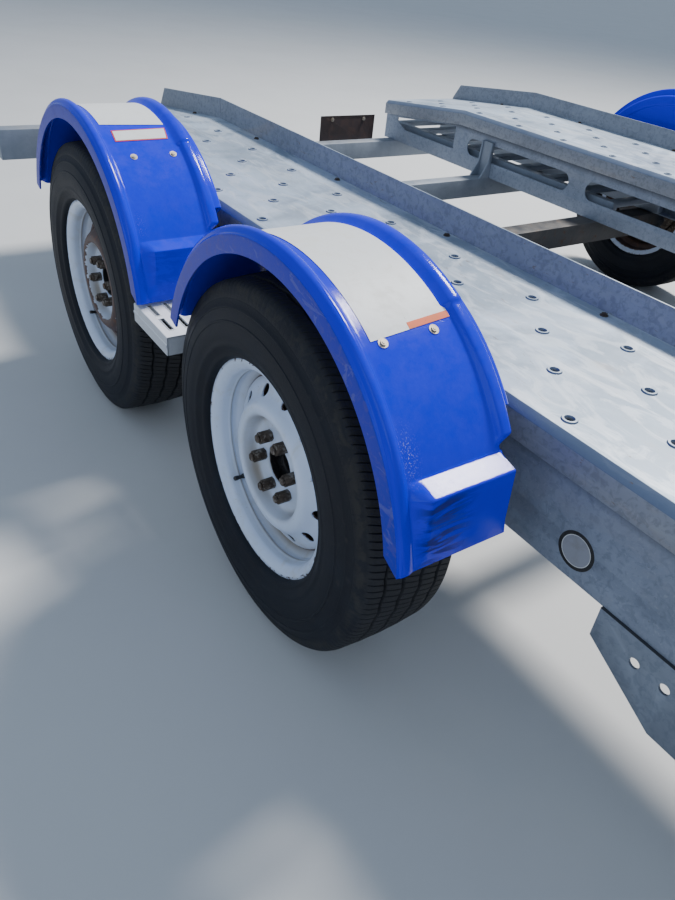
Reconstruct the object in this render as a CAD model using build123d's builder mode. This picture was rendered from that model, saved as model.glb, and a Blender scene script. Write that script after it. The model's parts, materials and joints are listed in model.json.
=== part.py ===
# Two-runway tandem-axle car transporter trailer, galvanised, with moulded mudguards.
# Frame: +X forward (towards the coupler), +Y to the left, +Z up, millimetres.
# Origin: middle of the overall length and width, on the ground.
from build123d import *
from math import cos, hypot, radians, sin, sqrt, tan
import os

os.makedirs("parts", exist_ok=True)

# Whole trailer
deck_length = 3800.0        # runway sheets, front edge to rear edge
tongue_length = 1500.0      # runway front edge to coupler nose
lamp_overhang = 26.0        # lamp lenses behind the runway ends
bed_width = 2000.0          # over both runways
runway_width = 430.0
deck_height = 606.0         # ground to sheet top
overall_length = lamp_overhang + deck_length + tongue_length
rear_x = -overall_length / 2 + lamp_overhang
front_x = rear_x + deck_length
nose_x = front_x + tongue_length
half_bed = bed_width / 2

# Runway sheet: folded from one plate
sheet = 4.0
upstand = 65.0              # height above the sheet top
edge_bevel = 13.0
edge_band = 45.0            # flange below the bevel
tail_length = 540.0         # sloping part behind the kink
tail_drop = 62.0
tail_chamfer = 60.0         # cut corner at the upstand's rear end
chamfer_slope = 30.0        # how far the cut runs past the upstand's edge
kink_x = rear_x + tail_length

# Runway webs
web = 5.0
web_depth = 226.0           # sheet top to web bottom
web_recess = 15.0           # web face behind the edge band
web_flange = 45.0
slot_height = 68.0
slot_length = 580.0
slot_pitch = 665.0
slot_rise = 60.0            # slot's lower edge above the web bottom
slot_start = 50.0           # kink to the first long slot
long_slots = 2
tail_slot_rear = 90.0       # runway's rear edge to the tapered slot
tail_slot_front = 40.0      # tapered slot to the kink
tail_slot_drop = 70.0       # sheet top to the tapered slot
tail_slot_corner = (60.0, 30.0)
web_bottom = deck_height - web_depth
web_y = half_bed - web_recess            # |y| of the outer webs' outward faces
gap_y = half_bed - runway_width + web_recess   # |y| of the webs' faces at the gap

# Wheels
wheel_spacing = 930.0
tyre_gap = 70.5             # runway's edge to the tyre
rear_overhang = 1180.0      # runway rear edge to rear wheel centre
rear_wheel_x = rear_x + rear_overhang
front_wheel_x = rear_wheel_x + wheel_spacing

# Tyre
tyre_radius = 350.0
tyre_width = 214.0
tread_width = 172.0
tread_round = 16.0          # curved edge of the tread
shoulder_drop = 14.0        # shoulder below the crown
shoulder_flare = 4.0        # shoulder outside the tread
buttress_depth = 22.0       # below the shoulder
buttress_inset = 8.0        # inside the widest section
bulge_rise = 52.0           # widest section above the rim flange
bead_rise = 8.0             # bead's rib above the rim flange
bead_inset = 10.0
bead_gap = 0.5              # tyre bead over the rim's seat
track = bed_width + 2 * tyre_gap + tyre_width     # between the tyres' middle planes

# Rim
rim_flange_radius = 208.0
rim_bead_radius = 190.5
rim_width = 165.0           # over the flanges
rim_wall = 4.0
flange_depth = 10.0         # flange edge to the bead seat
seat_width = 24.0
well_drop = 18.0            # well below the bead seats
well_inner = 48.0           # flange plane to the well, inner side
well_outer = 62.0           # and outer side
disc_wall = 5.0
disc_seat = 37.5            # disc's inner face outside the rim's middle plane
disc_flat = 96.0            # radius of the disc's flat middle
crown_radius = 126.0
crown_width = 12.0          # flat top of the crown
crown_inset = 20.0          # disc crown behind the outer flange plane
vent_circle = 144.0
vent_inset = 34.0           # vents behind the outer flange plane
vent_count = 12
vent_radius = 9.0
rim_plane = track / 2 + rim_width / 2    # |y| of the rims' outer flanges

# Hub and brake drum
bolt_circle_radius = 58.0
stud_count = 6
nut_radius = 12.5
nut_length = 27.0
centre_bore_radius = 40.0
drum_radius = 135.0
drum_length = 62.0
drum_bevel = (22.0, 16.0)
collar_length = 8.0
collar_wall = 5.0
hub_recess = 14.0           # hub's end cap behind the disc's inner face
cap_wall = 10.0
running_gap = 1.0           # between turning and fixed pieces

# Torsion axles
axle_tube = 76.0
axle_wall = 5.0
arm_reach = 130.0           # axle tube ahead of the wheel centre
arm_outset = 8.0            # arm outside the webs
arm_thickness = 28.0
arm_boss_radius = 38.0
spindle_radius = 22.0
spindle_clearance = 2.0     # spindle end to the cap

# Crossmembers
cross_height = 75.0
cross_width = 60.0
cross_wall = 4.0
rear_cross_inset = 62.0     # runway rear edge to the tube's middle
mid_cross_inset = 720.0
nose_cross_inset = 60.0     # runway front edge to the tube's middle

# Two-rib gussets at the middle crossmember
rib_height = 140.0
rib_wall = 8.0
rib_spread = 56.0
rib_foot = 52.0
rib_head = 14.0
rib_shoulder = (18.0, 60.0)  # outward, above the web bottom

# Front beam that the drawbar is welded to, and its end gussets
beam_depth = 137.0
beam_width = 90.0
beam_wall = 5.0
beam_inset = 700.0          # runway front edge to the beam's middle
gusset_lead = 432.0         # beam's middle to the gusset's rear edge
gusset_length = 620.0
gusset_slant = 138.0
gusset_edge = 58.0          # upright part of the slanted end
gusset_hole_radius = 9.0
gusset_hole_pitch = 52.0
gusset_hole_drop = 43.0
gusset_hole_inset = 78.0

# Mudguards
guard_radius = 385.0        # flat tread of the guard
guard_shift = 50.0          # arch centre ahead of the wheel centre
guard_lift = 55.0           # and above it
guard_wall = 4.0
guard_outset = 35.0         # outer face outside the rim's flange plane
guard_width = 220.0
guard_rib = 14.0            # rib crest above the flat tread
guard_rib_width = 30.0
guard_rib_round = 8.0
guard_skirt = 42.0          # outer wall, below the crest
guard_inner_skirt = 26.0
guard_front_angle = 10.0
guard_rear_angle = 162.0
guard_box_height = 107.0
guard_box_lean = 14.0       # top of the front face behind its foot
guard_box_ledge = (60.0, 28.0)   # slope of the top: back and up into the arch
guard_box_margins = (36.0, 30.0)   # outer and inner face to the box
bracket_width = 40.0
bracket_wall = 5.0
bracket_lap = 8.0           # bracket above the inner wall's lower edge
bracket_gap = 8.0           # and below the runway's folded edge
guard_y = rim_plane + guard_outset       # |y| of the mudguards' outer faces

# Step plates between the mudguards
step_drop = 112.0           # step top above the wheel centre
step_front_gap = 352.0      # front wheel centre to the step's front edge
step_rear_gap = 395.0       # rear wheel centre to the step's rear edge
step_inset = 5.0            # step edge inside the mudguards' faces
step_wall = 3.0
step_skirt = 42.0
step_slot_width = 9.0
step_slot_length = 118.0
step_slot_count = 7
step_slot_pitch = 36.0
step_slot_margin = 24.0

# Drawbar legs and coupler
leg_depth = 100.0
leg_width = 50.0
leg_wall = 5.0
leg_top = web_bottom
leg_rear_y = 500.0
leg_front_y = 44.0
leg_lap = 40.0              # legs under the coupler's plate
coupler_length = 330.0
coupler_width = 64.0
coupler_height = 60.0
coupler_plate = 8.0
plate_margin = 20.0         # coupler plate outside the head
plate_setback = 40.0        # and behind the nose
ball_radius = 25.4
ball_rise = 18.0            # ball centre above the legs' top

# Jack
jack_setback = 500.0        # coupler nose to the jack's axis
jack_tube_radius = 30.0
jack_wall = 3.0
jack_leg_radius = 26.0
jack_leg_top = 420.0
jack_travel = 200.0
jack_spare = 140.0          # tube above the raised leg
jack_foot_radius = 76.0
jack_foot = 10.0
jack_foot_gap = 5.0         # raised foot to the tube
jack_cap_radius = 34.0
jack_cap = 26.0
jack_flange = (110.0, 240.0, 10.0)
crank_shaft_radius = 8.0
crank_shaft = 40.0
crank_throw = 125.0
crank_bar = (18.0, 8.0)     # width and thickness
crank_tip = 7.5             # bar beyond the grip's axis
crank_grip_radius = 9.0
crank_grip = 90.0
jack_x = nose_x - jack_setback
jack_top = jack_leg_top + jack_travel + jack_spare
jack_bottom = jack_foot + jack_travel + jack_foot_gap

# Rear lamps on boxes beside the webs, and the blank plate
lamp_box_width = 235.0
lamp_box_height = 104.0
lamp_box_depth = 64.0
lamp_radius = 46.0
lamp_insets = (55.0, 165.0)  # box's outer end to each lamp's middle
plate_width = 305.0
plate_height = 145.0
plate_lap = 38.0            # part of the plate below the crossmember's top
plate_wall = 3.0
plate_hole_pitch = 178.0
plate_hole_radius = 3.5
plate_hole_drop = 16.0
plate_centre_y = 335.0

# Loading ramps, stowed on the web flanges in the runway tails
ramp_length = 1350.0
ramp_width = 330.0
ramp_inset = 20.0           # runway rear edge to the ramp
ramp_rail_height = 70.0
ramp_rail = 30.0
ramp_rungs = 9
ramp_rung = 40.0
ramp_rung_height = 22.0

# Wheel stops at the front of the runways
stop_height = 110.0
stop_top = 40.0             # lip bent forward at the top
stop_wall = 6.0
stop_side_gap = 20.0        # stop's ends inside the runway's edges
stop_ribs = 2
stop_rib_height = 70.0

cut_margin = 1.0            # cutters past the surface that they cut

SIDES = (("right", -1), ("left", 1))
AXLES = (("front", front_wheel_x), ("rear", rear_wheel_x))
RUNWAYS = (("right", -half_bed), ("left", half_bed - runway_width))   # y of the rolled edge


def save(piece, name):
    """Label one sub-part and write its STEP file."""
    piece.part.label = name
    export_step(piece.part, f"parts/{name}.step")


def yz_plane(x):
    """Plane across the trailer at x: its x is +Y and its y is +Z."""
    return Plane(origin=(x, 0, 0), x_dir=(0, 1, 0), z_dir=(1, 0, 0))


def xz_plane(y):
    """Plane along the trailer at y: its x is +X and its y is +Z, its normal is -Y."""
    return Plane.XZ.offset(-y)


def sheet_section(y0):
    """Folded edge, flat and upstand of a runway sheet whose rolled edge is at y0."""
    top = deck_height
    y1 = y0 + runway_width
    mitre = sheet * tan(radians(22.5))
    with BuildLine() as line:
        Polyline(
            (y0, top - edge_bevel - edge_band),
            (y0, top - edge_bevel),
            (y0 + edge_bevel, top),
            (y1 - sheet, top),
            (y1 - sheet, top + upstand),
            (y1, top + upstand),
            (y1, top - sheet),
            (y0 + edge_bevel + mitre, top - sheet),
            (y0 + sheet, top - edge_bevel - mitre),
            (y0 + sheet, top - edge_bevel - edge_band),
            close=True,
        )
    return line.line


def runway_deck(name, y0):
    """Folded sheet, level to the kink and sheared down along the tail."""
    runs = (  # length, direction
        (front_x - kink_x, (1, 0, 0)),
        (hypot(tail_length, tail_drop), (-tail_length, 0, -tail_drop)),
    )
    with BuildPart() as deck:
        for length, direction in runs:
            with BuildSketch(yz_plane(kink_x)):
                with BuildLine():
                    add(sheet_section(y0))
                make_face()
            extrude(amount=length, dir=direction)
        tail_top = deck_height - tail_drop + upstand
        with BuildSketch(xz_plane(y0 + runway_width + cut_margin)):
            with BuildLine():
                Polyline(
                    (rear_x - cut_margin, tail_top + chamfer_slope),
                    (rear_x - cut_margin, tail_top - tail_chamfer),
                    (rear_x + tail_chamfer, tail_top + chamfer_slope),
                    close=True,
                )
            make_face()
        extrude(amount=sheet + 2 * cut_margin, mode=Mode.SUBTRACT)
    save(deck, name)


def web_outline():
    """Side view of a web: its top follows the sheet down the tail."""
    top = deck_height - sheet
    return (
        (rear_x, web_bottom),
        (rear_x, top - tail_drop),
        (kink_x, top),
        (front_x, top),
        (front_x, web_bottom),
    )


def tail_slot():
    """Tapered slot in the tail; its upper edge follows the sheet."""
    low = web_bottom + slot_rise
    high = deck_height - tail_slot_drop
    rear = rear_x + tail_slot_rear
    front = kink_x - tail_slot_front
    corner, rise = tail_slot_corner
    return (
        (rear, low + rise),
        (rear, high - tail_drop * (kink_x - rear) / tail_length),
        (front, high),
        (front, low),
        (rear + corner, low),
    )


def runway_web(name, y_face, inward):
    """One web plate with its lower flange turned inward (+1 or -1 along Y) and its slots."""
    with BuildPart() as plate:
        with BuildSketch(xz_plane(y_face)):
            with BuildLine():
                Polyline(*web_outline(), close=True)
            make_face()
            for index in range(long_slots):
                x = kink_x + slot_start + slot_length / 2 + index * slot_pitch
                with Locations((x, web_bottom + slot_rise + slot_height / 2)):
                    SlotOverall(slot_length, slot_height, mode=Mode.SUBTRACT)
            with BuildLine():
                Polyline(*tail_slot(), close=True)
            make_face(mode=Mode.SUBTRACT)
        extrude(amount=-web * inward)
        y_flange = y_face + inward * (web + web_flange / 2)
        with BuildSketch(yz_plane(rear_x)):
            with Locations((y_flange, web_bottom + web / 2)):
                Rectangle(web_flange, web)
        extrude(amount=deck_length)
    save(plate, name)


def tube_across(x, z, width, height, wall, half_length):
    """Adds a hollow rectangular tube along Y, middle at x and z, to the open part."""
    with BuildSketch(xz_plane(-half_length)) as section:
        with Locations((x, z)):
            Rectangle(width, height)
            Rectangle(width - 2 * wall, height - 2 * wall, mode=Mode.SUBTRACT)
    extrude(section.sketch, amount=-2 * half_length)


def crossmember(name, x, z, half_length):
    with BuildPart() as member:
        tube_across(x, z, cross_width, cross_height, cross_wall, half_length)
    save(member, name)


def front_beam():
    with BuildPart() as beam:
        x = front_x - beam_inset
        tube_across(x, web_bottom - beam_depth / 2, beam_width, beam_depth, beam_wall, web_y)
    save(beam, "front_beam")


def beam_gussets():
    """Plates below the outer webs that close the front beam's ends."""
    x0 = front_x - beam_inset - gusset_lead
    x1 = x0 + gusset_length
    with BuildPart() as gussets:
        for _, side in SIDES:
            with BuildSketch(xz_plane(side * web_y)):
                with BuildLine():
                    Polyline(
                        (x0, web_bottom),
                        (x0, web_bottom - gusset_edge),
                        (x0 + gusset_slant, web_bottom - beam_depth),
                        (x1, web_bottom - beam_depth),
                        (x1, web_bottom),
                        close=True,
                    )
                make_face()
                for step in range(2):
                    hole_x = x0 + gusset_hole_inset + step * gusset_hole_pitch
                    with Locations((hole_x, web_bottom - gusset_hole_drop)):
                        Circle(gusset_hole_radius, mode=Mode.SUBTRACT)
            extrude(amount=-side * web)
    save(gussets, "beam_gussets")


def rib_brackets():
    """Two-rib gussets that tie the webs beside the gap to the middle crossmember."""
    x = rear_x + mid_cross_inset
    top = web_bottom + rib_height
    with BuildPart() as ribs:
        for _, side in SIDES:
            y_face = side * gap_y
            out = -side
            for offset_x in (-rib_spread / 2, rib_spread / 2):
                with BuildSketch(yz_plane(x + offset_x - rib_wall / 2)):
                    with BuildLine():
                        Polyline(
                            (y_face, web_bottom),
                            (y_face, top),
                            (y_face + out * rib_head, top),
                            (y_face + out * rib_shoulder[0], web_bottom + rib_shoulder[1]),
                            (y_face + out * rib_foot, web_bottom),
                            close=True,
                        )
                    make_face()
                extrude(amount=rib_wall)
            with BuildSketch(yz_plane(x - rib_spread / 2)):
                with Locations((y_face + out * rib_wall / 2, web_bottom + rib_height / 2)):
                    Rectangle(rib_wall, rib_height)
            extrude(amount=rib_spread)
    save(ribs, "rib_brackets")


def torsion_axle(name, wheel_x):
    """Axle tube under the webs, with a trailing arm and spindle at each end."""
    x = wheel_x + arm_reach
    z = web_bottom - axle_tube / 2
    arm_y = web_y + arm_outset
    spindle_end = track / 2 + disc_seat - hub_recess - cap_wall - spindle_clearance
    with BuildPart() as axle:
        tube_across(x, z, axle_tube, axle_tube, axle_wall, arm_y)
        for _, side in SIDES:
            with BuildSketch(xz_plane(side * arm_y)):
                with Locations((x, z), (wheel_x, tyre_radius)):
                    Circle(arm_boss_radius)
                make_hull()
            extrude(amount=-side * arm_thickness)
            with BuildSketch(xz_plane(side * (arm_y + arm_thickness))):
                with Locations((wheel_x, tyre_radius)):
                    Circle(spindle_radius)
            extrude(amount=-side * (spindle_end - arm_y - arm_thickness))
    save(axle, name)


def wheel_plane(wheel_x, side):
    """Plane at the wheel's middle, its normal pointing outward."""
    return Plane(origin=(wheel_x, side * track / 2, tyre_radius), x_dir=(1, 0, 0), z_dir=(0, side, 0))


def spin_section(wheel_x, side):
    """Half-plane for revolved wheel sections: x is the radius, y the way outward."""
    return Plane(origin=(wheel_x, side * track / 2, tyre_radius), x_dir=(0, 0, 1), z_dir=(-side, 0, 0))


def wheel_axis(wheel_x):
    return Axis((wheel_x, 0, tyre_radius), (0, 1, 0))


def tyre(name, wheel_x, side):
    half = tyre_width / 2
    flange = rim_width / 2
    tread = tread_width / 2
    shoulder = tyre_radius - shoulder_drop
    profile = (  # radius, distance from the middle plane
        (rim_bead_radius + bead_gap, flange - flange_depth - 2),
        (rim_flange_radius + bead_gap, flange - 1),
        (rim_flange_radius + bead_rise, half - bead_inset),
        (rim_flange_radius + bulge_rise, half),
        (shoulder - buttress_depth, half - buttress_inset),
        (shoulder, tread + shoulder_flare),
        (tyre_radius, tread - tread_round),
    )
    mirrored = [(radius, -y) for radius, y in reversed(profile)]
    with BuildPart() as rubber:
        with BuildSketch(spin_section(wheel_x, side)):
            with BuildLine():
                Polyline(*profile, *mirrored, close=True)
            make_face()
        revolve(axis=wheel_axis(wheel_x))
    save(rubber, name)


def rim(name, wheel_x, side):
    """Drop-centre rim with its dished and vented disc, in one piece."""
    half = rim_width / 2
    seat = rim_bead_radius
    well = seat - well_drop
    flare = well_inner - flange_depth - seat_width
    barrel = (  # radius, distance outward from the middle plane
        (rim_flange_radius, -half),
        (seat, -half + flange_depth),
        (seat, -half + flange_depth + seat_width),
        (well, -half + well_inner),
        (well, half - well_outer),
        (seat, half - well_outer + flare),
        (seat, half - flange_depth),
        (rim_flange_radius, half),
    )
    inside = [(radius - rim_wall, y) for radius, y in reversed(barrel)]
    crown = half - crown_inset
    outer_face = (
        (well - rim_wall / 2, half - well_outer - disc_wall),
        (vent_circle, half - vent_inset),
        (crown_radius + crown_width / 2, crown),
        (crown_radius - crown_width / 2, crown),
        (disc_flat, disc_seat + disc_wall),
        (centre_bore_radius, disc_seat + disc_wall),
    )
    inner_face = [(radius, y - disc_wall) for radius, y in reversed(outer_face)]
    with BuildPart() as steel:
        for profile in ((*barrel, *inside), (*outer_face, *inner_face)):
            with BuildSketch(spin_section(wheel_x, side)):
                with BuildLine():
                    Polyline(*profile, close=True)
                make_face()
            revolve(axis=wheel_axis(wheel_x))
        with BuildSketch(wheel_plane(wheel_x, side).offset(half)):
            with PolarLocations(vent_circle, vent_count):
                Circle(vent_radius)
        extrude(amount=-half, mode=Mode.SUBTRACT)
    save(steel, name)


def hub(name, wheel_x, side):
    """Brake drum, collar in the disc's bore, end cap and wheel nuts."""
    collar = centre_bore_radius - running_gap
    bore = spindle_radius + running_gap
    back = disc_seat - drum_length
    rim_end = disc_seat + collar_length
    cap = disc_seat - hub_recess
    profile = (  # radius, distance outward from the middle plane
        (bore, back),
        (drum_radius, back),
        (drum_radius, disc_seat - drum_bevel[1]),
        (drum_radius - drum_bevel[0], disc_seat),
        (collar, disc_seat),
        (collar, rim_end),
        (collar - collar_wall, rim_end),
        (collar - collar_wall, cap),
        (0, cap),
        (0, cap - cap_wall),
        (bore, cap - cap_wall),
    )
    with BuildPart() as iron:
        with BuildSketch(spin_section(wheel_x, side)):
            with BuildLine():
                Polyline(*profile, close=True)
            make_face()
        revolve(axis=wheel_axis(wheel_x))
        with BuildSketch(wheel_plane(wheel_x, side).offset(disc_seat + disc_wall)):
            with PolarLocations(bolt_circle_radius, stud_count):
                RegularPolygon(nut_radius, 6)
        extrude(amount=nut_length)
    save(iron, name)


def guard_centre(wheel_x):
    return wheel_x + guard_shift, tyre_radius + guard_lift


def guard_box(cx, cz, side, inset, mode):
    """Outline of the shallow box on the guard's front foot, or its hollow when inset."""
    start = radians(guard_front_angle)
    foot_x = cx + guard_radius * cos(start)
    foot_z = cz + guard_radius * sin(start)
    back, rise = guard_box_ledge
    top_x = foot_x - guard_box_lean
    top_z = foot_z + guard_box_height
    outer, inner = guard_box_margins
    with BuildSketch(xz_plane(side * (guard_y - outer - inset))) as outline:
        with BuildLine():
            Polyline(
                (foot_x, foot_z),
                (top_x, top_z),
                (top_x - back, top_z + rise),
                (foot_x - back, foot_z),
                close=True,
            )
        make_face()
        if inset > 0:
            offset(amount=-inset, kind=Kind.INTERSECTION)
    extrude(outline.sketch, amount=side * (guard_width - outer - inner - 2 * inset), mode=mode)


def mudguard(name, wheel_x, side):
    """Arched shell: skirt, outer rib, flat tread, inner rib and a shallow box at the front."""
    cx, cz = guard_centre(wheel_x)
    start = radians(guard_front_angle)
    radial = Vector(cos(start), 0, sin(start))
    section = Plane(origin=(cx, 0, cz), x_dir=radial, z_dir=radial.cross(Vector(0, 1, 0)))
    inner = guard_y - guard_width
    crest = guard_radius + guard_rib
    profile = (  # radius, |y|
        (crest - guard_skirt, guard_y),
        (crest - guard_rib_round, guard_y),
        (crest, guard_y - guard_rib_round),
        (crest, guard_y - guard_rib_width + guard_rib_round),
        (guard_radius, guard_y - guard_rib_width),
        (guard_radius, inner + guard_rib_width),
        (crest, inner + guard_rib_width - guard_rib_round),
        (crest, inner + guard_rib_round),
        (crest - guard_rib_round, inner),
        (crest - guard_inner_skirt, inner),
    )
    with BuildPart() as shell:
        guard_box(cx, cz, side, 0, Mode.ADD)
        with BuildSketch(xz_plane(guard_y)):
            with Locations((cx, cz)):
                Circle(guard_radius - guard_wall / 2)
        extrude(amount=2 * guard_y, both=True, mode=Mode.SUBTRACT)
        with BuildSketch(section):
            with BuildLine():
                Polyline(*[(radius, side * y) for radius, y in profile])
                offset(amount=guard_wall, side=Side.RIGHT if side > 0 else Side.LEFT)
            make_face()
        revolve(axis=Axis((cx, 0, cz), (0, -1, 0)), revolution_arc=guard_rear_angle - guard_front_angle)
        guard_box(cx, cz, side, guard_wall, Mode.SUBTRACT)
    save(shell, name)


def mudguard_brackets():
    """Bars from the outer webs to each mudguard's inner wall, just below the runways' edges."""
    reach = guard_y - guard_width - web_y
    grip = guard_radius + guard_rib - guard_inner_skirt + bracket_lap
    z = deck_height - edge_bevel - edge_band - bracket_gap - bracket_wall / 2
    with BuildPart() as brackets:
        for _, side in SIDES:
            with BuildSketch(xz_plane(side * web_y)):
                for _, wheel_x in AXLES:
                    cx, cz = guard_centre(wheel_x)
                    half_span = sqrt(grip**2 - (z - cz) ** 2)
                    with Locations((cx - half_span, z), (cx + half_span, z)):
                        Rectangle(bracket_width, bracket_wall)
            extrude(amount=-side * reach)
    save(brackets, "mudguard_brackets")


def step_plate(name, side):
    """Step between the two mudguards of one side: slotted top and folded skirts."""
    x0 = rear_wheel_x + step_rear_gap
    x1 = front_wheel_x - step_front_gap
    y_out = guard_y - step_inset
    z = tyre_radius + step_drop
    low = z - step_skirt
    slots_y = y_out - step_slot_margin - step_slot_pitch * (step_slot_count - 1) / 2
    with BuildPart() as step:
        with BuildSketch(yz_plane(x0)):
            with BuildLine():
                Polyline(
                    (side * web_y, z),
                    (side * y_out, z),
                    (side * y_out, low),
                    (side * (y_out - step_wall), low),
                    (side * (y_out - step_wall), z - step_wall),
                    (side * (web_y + step_wall), z - step_wall),
                    (side * (web_y + step_wall), low),
                    (side * web_y, low),
                    close=True,
                )
            make_face()
        extrude(amount=x1 - x0)
        with BuildSketch(Plane.XY.offset(z - step_wall)):
            with Locations(((x0 + x1) / 2, side * slots_y)):
                with GridLocations(1, step_slot_pitch, 1, step_slot_count):
                    SlotOverall(step_slot_length, step_slot_width)
        extrude(amount=step_wall, mode=Mode.SUBTRACT)
    save(step, name)


def drawbar_leg(name, side):
    """Rectangular tube from the front beam to the coupler, cut flush at the beam."""
    x0 = front_x - beam_inset + beam_width / 2
    x1 = nose_x - coupler_length + leg_lap
    y0 = side * leg_rear_y
    y1 = side * leg_front_y
    length = hypot(x1 - x0, y1 - y0)
    direction = Vector((x1 - x0) / length, (y1 - y0) / length, 0)
    across = Vector(-direction.Y, direction.X, 0)
    start = Vector(x0, y0, leg_top - leg_depth / 2) - direction * leg_width
    with BuildPart() as leg:
        with BuildSketch(Plane(origin=start, x_dir=across, z_dir=direction)):
            Rectangle(leg_width, leg_depth)
            Rectangle(leg_width - 2 * leg_wall, leg_depth - 2 * leg_wall, mode=Mode.SUBTRACT)
        extrude(amount=length + leg_width)
        split(bisect_by=Plane.YZ.offset(x0), keep=Keep.TOP)
    save(leg, name)


def coupler():
    """Ball coupler: a plate on the legs and a round-nosed head with its socket."""
    nose = coupler_width / 2
    with BuildPart() as head:
        with BuildSketch(Plane.XY.offset(leg_top)):
            with Locations((nose_x - (coupler_length + plate_setback) / 2, 0)):
                Rectangle(coupler_length - plate_setback, coupler_width + 2 * plate_margin)
        extrude(amount=coupler_plate)
        with BuildSketch(Plane.XY.offset(leg_top + coupler_plate)):
            with Locations((nose_x - (coupler_length + nose) / 2, 0)):
                Rectangle(coupler_length - nose, coupler_width)
            with Locations((nose_x - nose, 0)):
                Circle(nose)
        extrude(amount=coupler_height)
        with Locations((nose_x - nose, 0, leg_top + ball_rise)):
            Sphere(ball_radius, mode=Mode.SUBTRACT)
    save(head, "coupler")


def jack_tube():
    bore = jack_tube_radius - jack_wall
    long, wide, thick = jack_flange
    with BuildPart() as tube:
        with BuildSketch(Plane.XY.offset(jack_bottom)):
            with Locations((jack_x, 0)):
                Circle(jack_tube_radius)
                Circle(bore, mode=Mode.SUBTRACT)
        extrude(amount=jack_top - jack_bottom)
        with BuildSketch(Plane.XY.offset(jack_top)):
            with Locations((jack_x, 0)):
                Circle(jack_cap_radius)
        extrude(amount=jack_cap)
        with BuildSketch(Plane.XY.offset(leg_top)):
            with Locations((jack_x, 0)):
                Rectangle(long, wide)
                Circle(bore, mode=Mode.SUBTRACT)
        extrude(amount=thick)
    save(tube, "jack_tube")


def jack_leg():
    """Sliding leg with its round foot on the ground."""
    with BuildPart() as leg:
        with Locations((jack_x, 0, 0)):
            Cylinder(jack_foot_radius, jack_foot, align=(Align.CENTER, Align.CENTER, Align.MIN))
            Cylinder(jack_leg_radius, jack_leg_top, align=(Align.CENTER, Align.CENTER, Align.MIN))
    save(leg, "jack_leg")


def jack_handle():
    """Crank on the jack's left side: shaft, hanging bar and grip."""
    z = jack_top + jack_cap / 2
    width, thick = crank_bar
    bar_length = crank_throw + 2 * crank_tip + width / 2
    y = jack_cap_radius
    with BuildPart() as crank:
        with BuildSketch(xz_plane(y)):
            with Locations((jack_x, z)):
                Circle(crank_shaft_radius)
        extrude(amount=-crank_shaft)
        with BuildSketch(xz_plane(y + crank_shaft)):
            with Locations((jack_x, z - crank_throw / 2)):
                SlotOverall(bar_length, width, rotation=90)
        extrude(amount=-thick)
        with BuildSketch(xz_plane(y + crank_shaft + thick)):
            with Locations((jack_x, z - crank_throw)):
                Circle(crank_grip_radius)
        extrude(amount=-crank_grip)
    save(crank, "jack_handle")


def lamp_boxes():
    with BuildPart() as boxes:
        for _, side in SIDES:
            with BuildSketch(xz_plane(side * web_y)):
                with Locations((rear_x + lamp_box_depth / 2, web_bottom + lamp_box_height / 2)):
                    Rectangle(lamp_box_depth, lamp_box_height)
            extrude(amount=-side * lamp_box_width)
    save(boxes, "lamp_boxes")


def tail_lamps():
    with BuildPart() as lenses:
        with BuildSketch(yz_plane(rear_x)):
            for _, side in SIDES:
                for inset in lamp_insets:
                    y = side * (web_y + lamp_box_width - inset)
                    with Locations((y, web_bottom + lamp_box_height / 2)):
                        Circle(lamp_radius)
        extrude(amount=-lamp_overhang)
    save(lenses, "tail_lamps")


def plate_bracket():
    """Blank plate bolted to the rear face of the rear crossmember."""
    base = web_bottom - plate_lap
    with BuildPart() as plate:
        with BuildSketch(yz_plane(rear_x + rear_cross_inset - cross_width / 2)):
            with Locations((plate_centre_y, base + plate_height / 2)):
                Rectangle(plate_width, plate_height)
            with Locations((plate_centre_y, base + plate_height - plate_hole_drop)):
                with GridLocations(plate_hole_pitch, 1, 2, 1):
                    Circle(plate_hole_radius, mode=Mode.SUBTRACT)
        extrude(amount=-plate_wall)
    save(plate, "plate_bracket")


def loading_ramp(name, y0):
    """Ladder ramp lying on the web flanges."""
    y_mid = y0 + runway_width / 2
    z = web_bottom + web
    start = rear_x + ramp_inset
    pitch = (ramp_length - ramp_rung) / (ramp_rungs - 1)
    with BuildPart() as ramp:
        for side in (-1, 1):
            with BuildSketch(yz_plane(start)):
                with Locations((y_mid + side * (ramp_width - ramp_rail) / 2, z + ramp_rail_height / 2)):
                    Rectangle(ramp_rail, ramp_rail_height)
            extrude(amount=ramp_length)
        for index in range(ramp_rungs):
            with BuildSketch(yz_plane(start + index * pitch)):
                with Locations((y_mid, z + ramp_rail_height - ramp_rung_height / 2)):
                    Rectangle(ramp_width - ramp_rail, ramp_rung_height)
            extrude(amount=ramp_rung)
    save(ramp, name)


def wheel_stops():
    """Upright plate across each runway's front end, its top bent forward over two ribs."""
    face = front_x + stop_wall
    crest = deck_height + stop_height
    lip = crest - stop_wall
    width = runway_width - 2 * stop_side_gap
    with BuildPart() as stops:
        for _, y0 in RUNWAYS:
            y_low = y0 + stop_side_gap
            with BuildSketch(xz_plane(y_low)):
                with BuildLine():
                    Polyline(
                        (front_x, web_bottom),
                        (front_x, crest),
                        (face + stop_top, crest),
                        (face + stop_top, lip),
                        (face, lip),
                        (face, web_bottom),
                        close=True,
                    )
                make_face()
            extrude(amount=-width)
            for index in range(stop_ribs):
                with BuildSketch(xz_plane(y_low + (index + 0.5) * width / stop_ribs)):
                    with BuildLine():
                        Polyline(
                            (face, lip),
                            (face + stop_top, lip),
                            (face, lip - stop_rib_height),
                            close=True,
                        )
                    make_face()
                extrude(amount=-stop_wall)
    save(stops, "wheel_stops")


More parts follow.
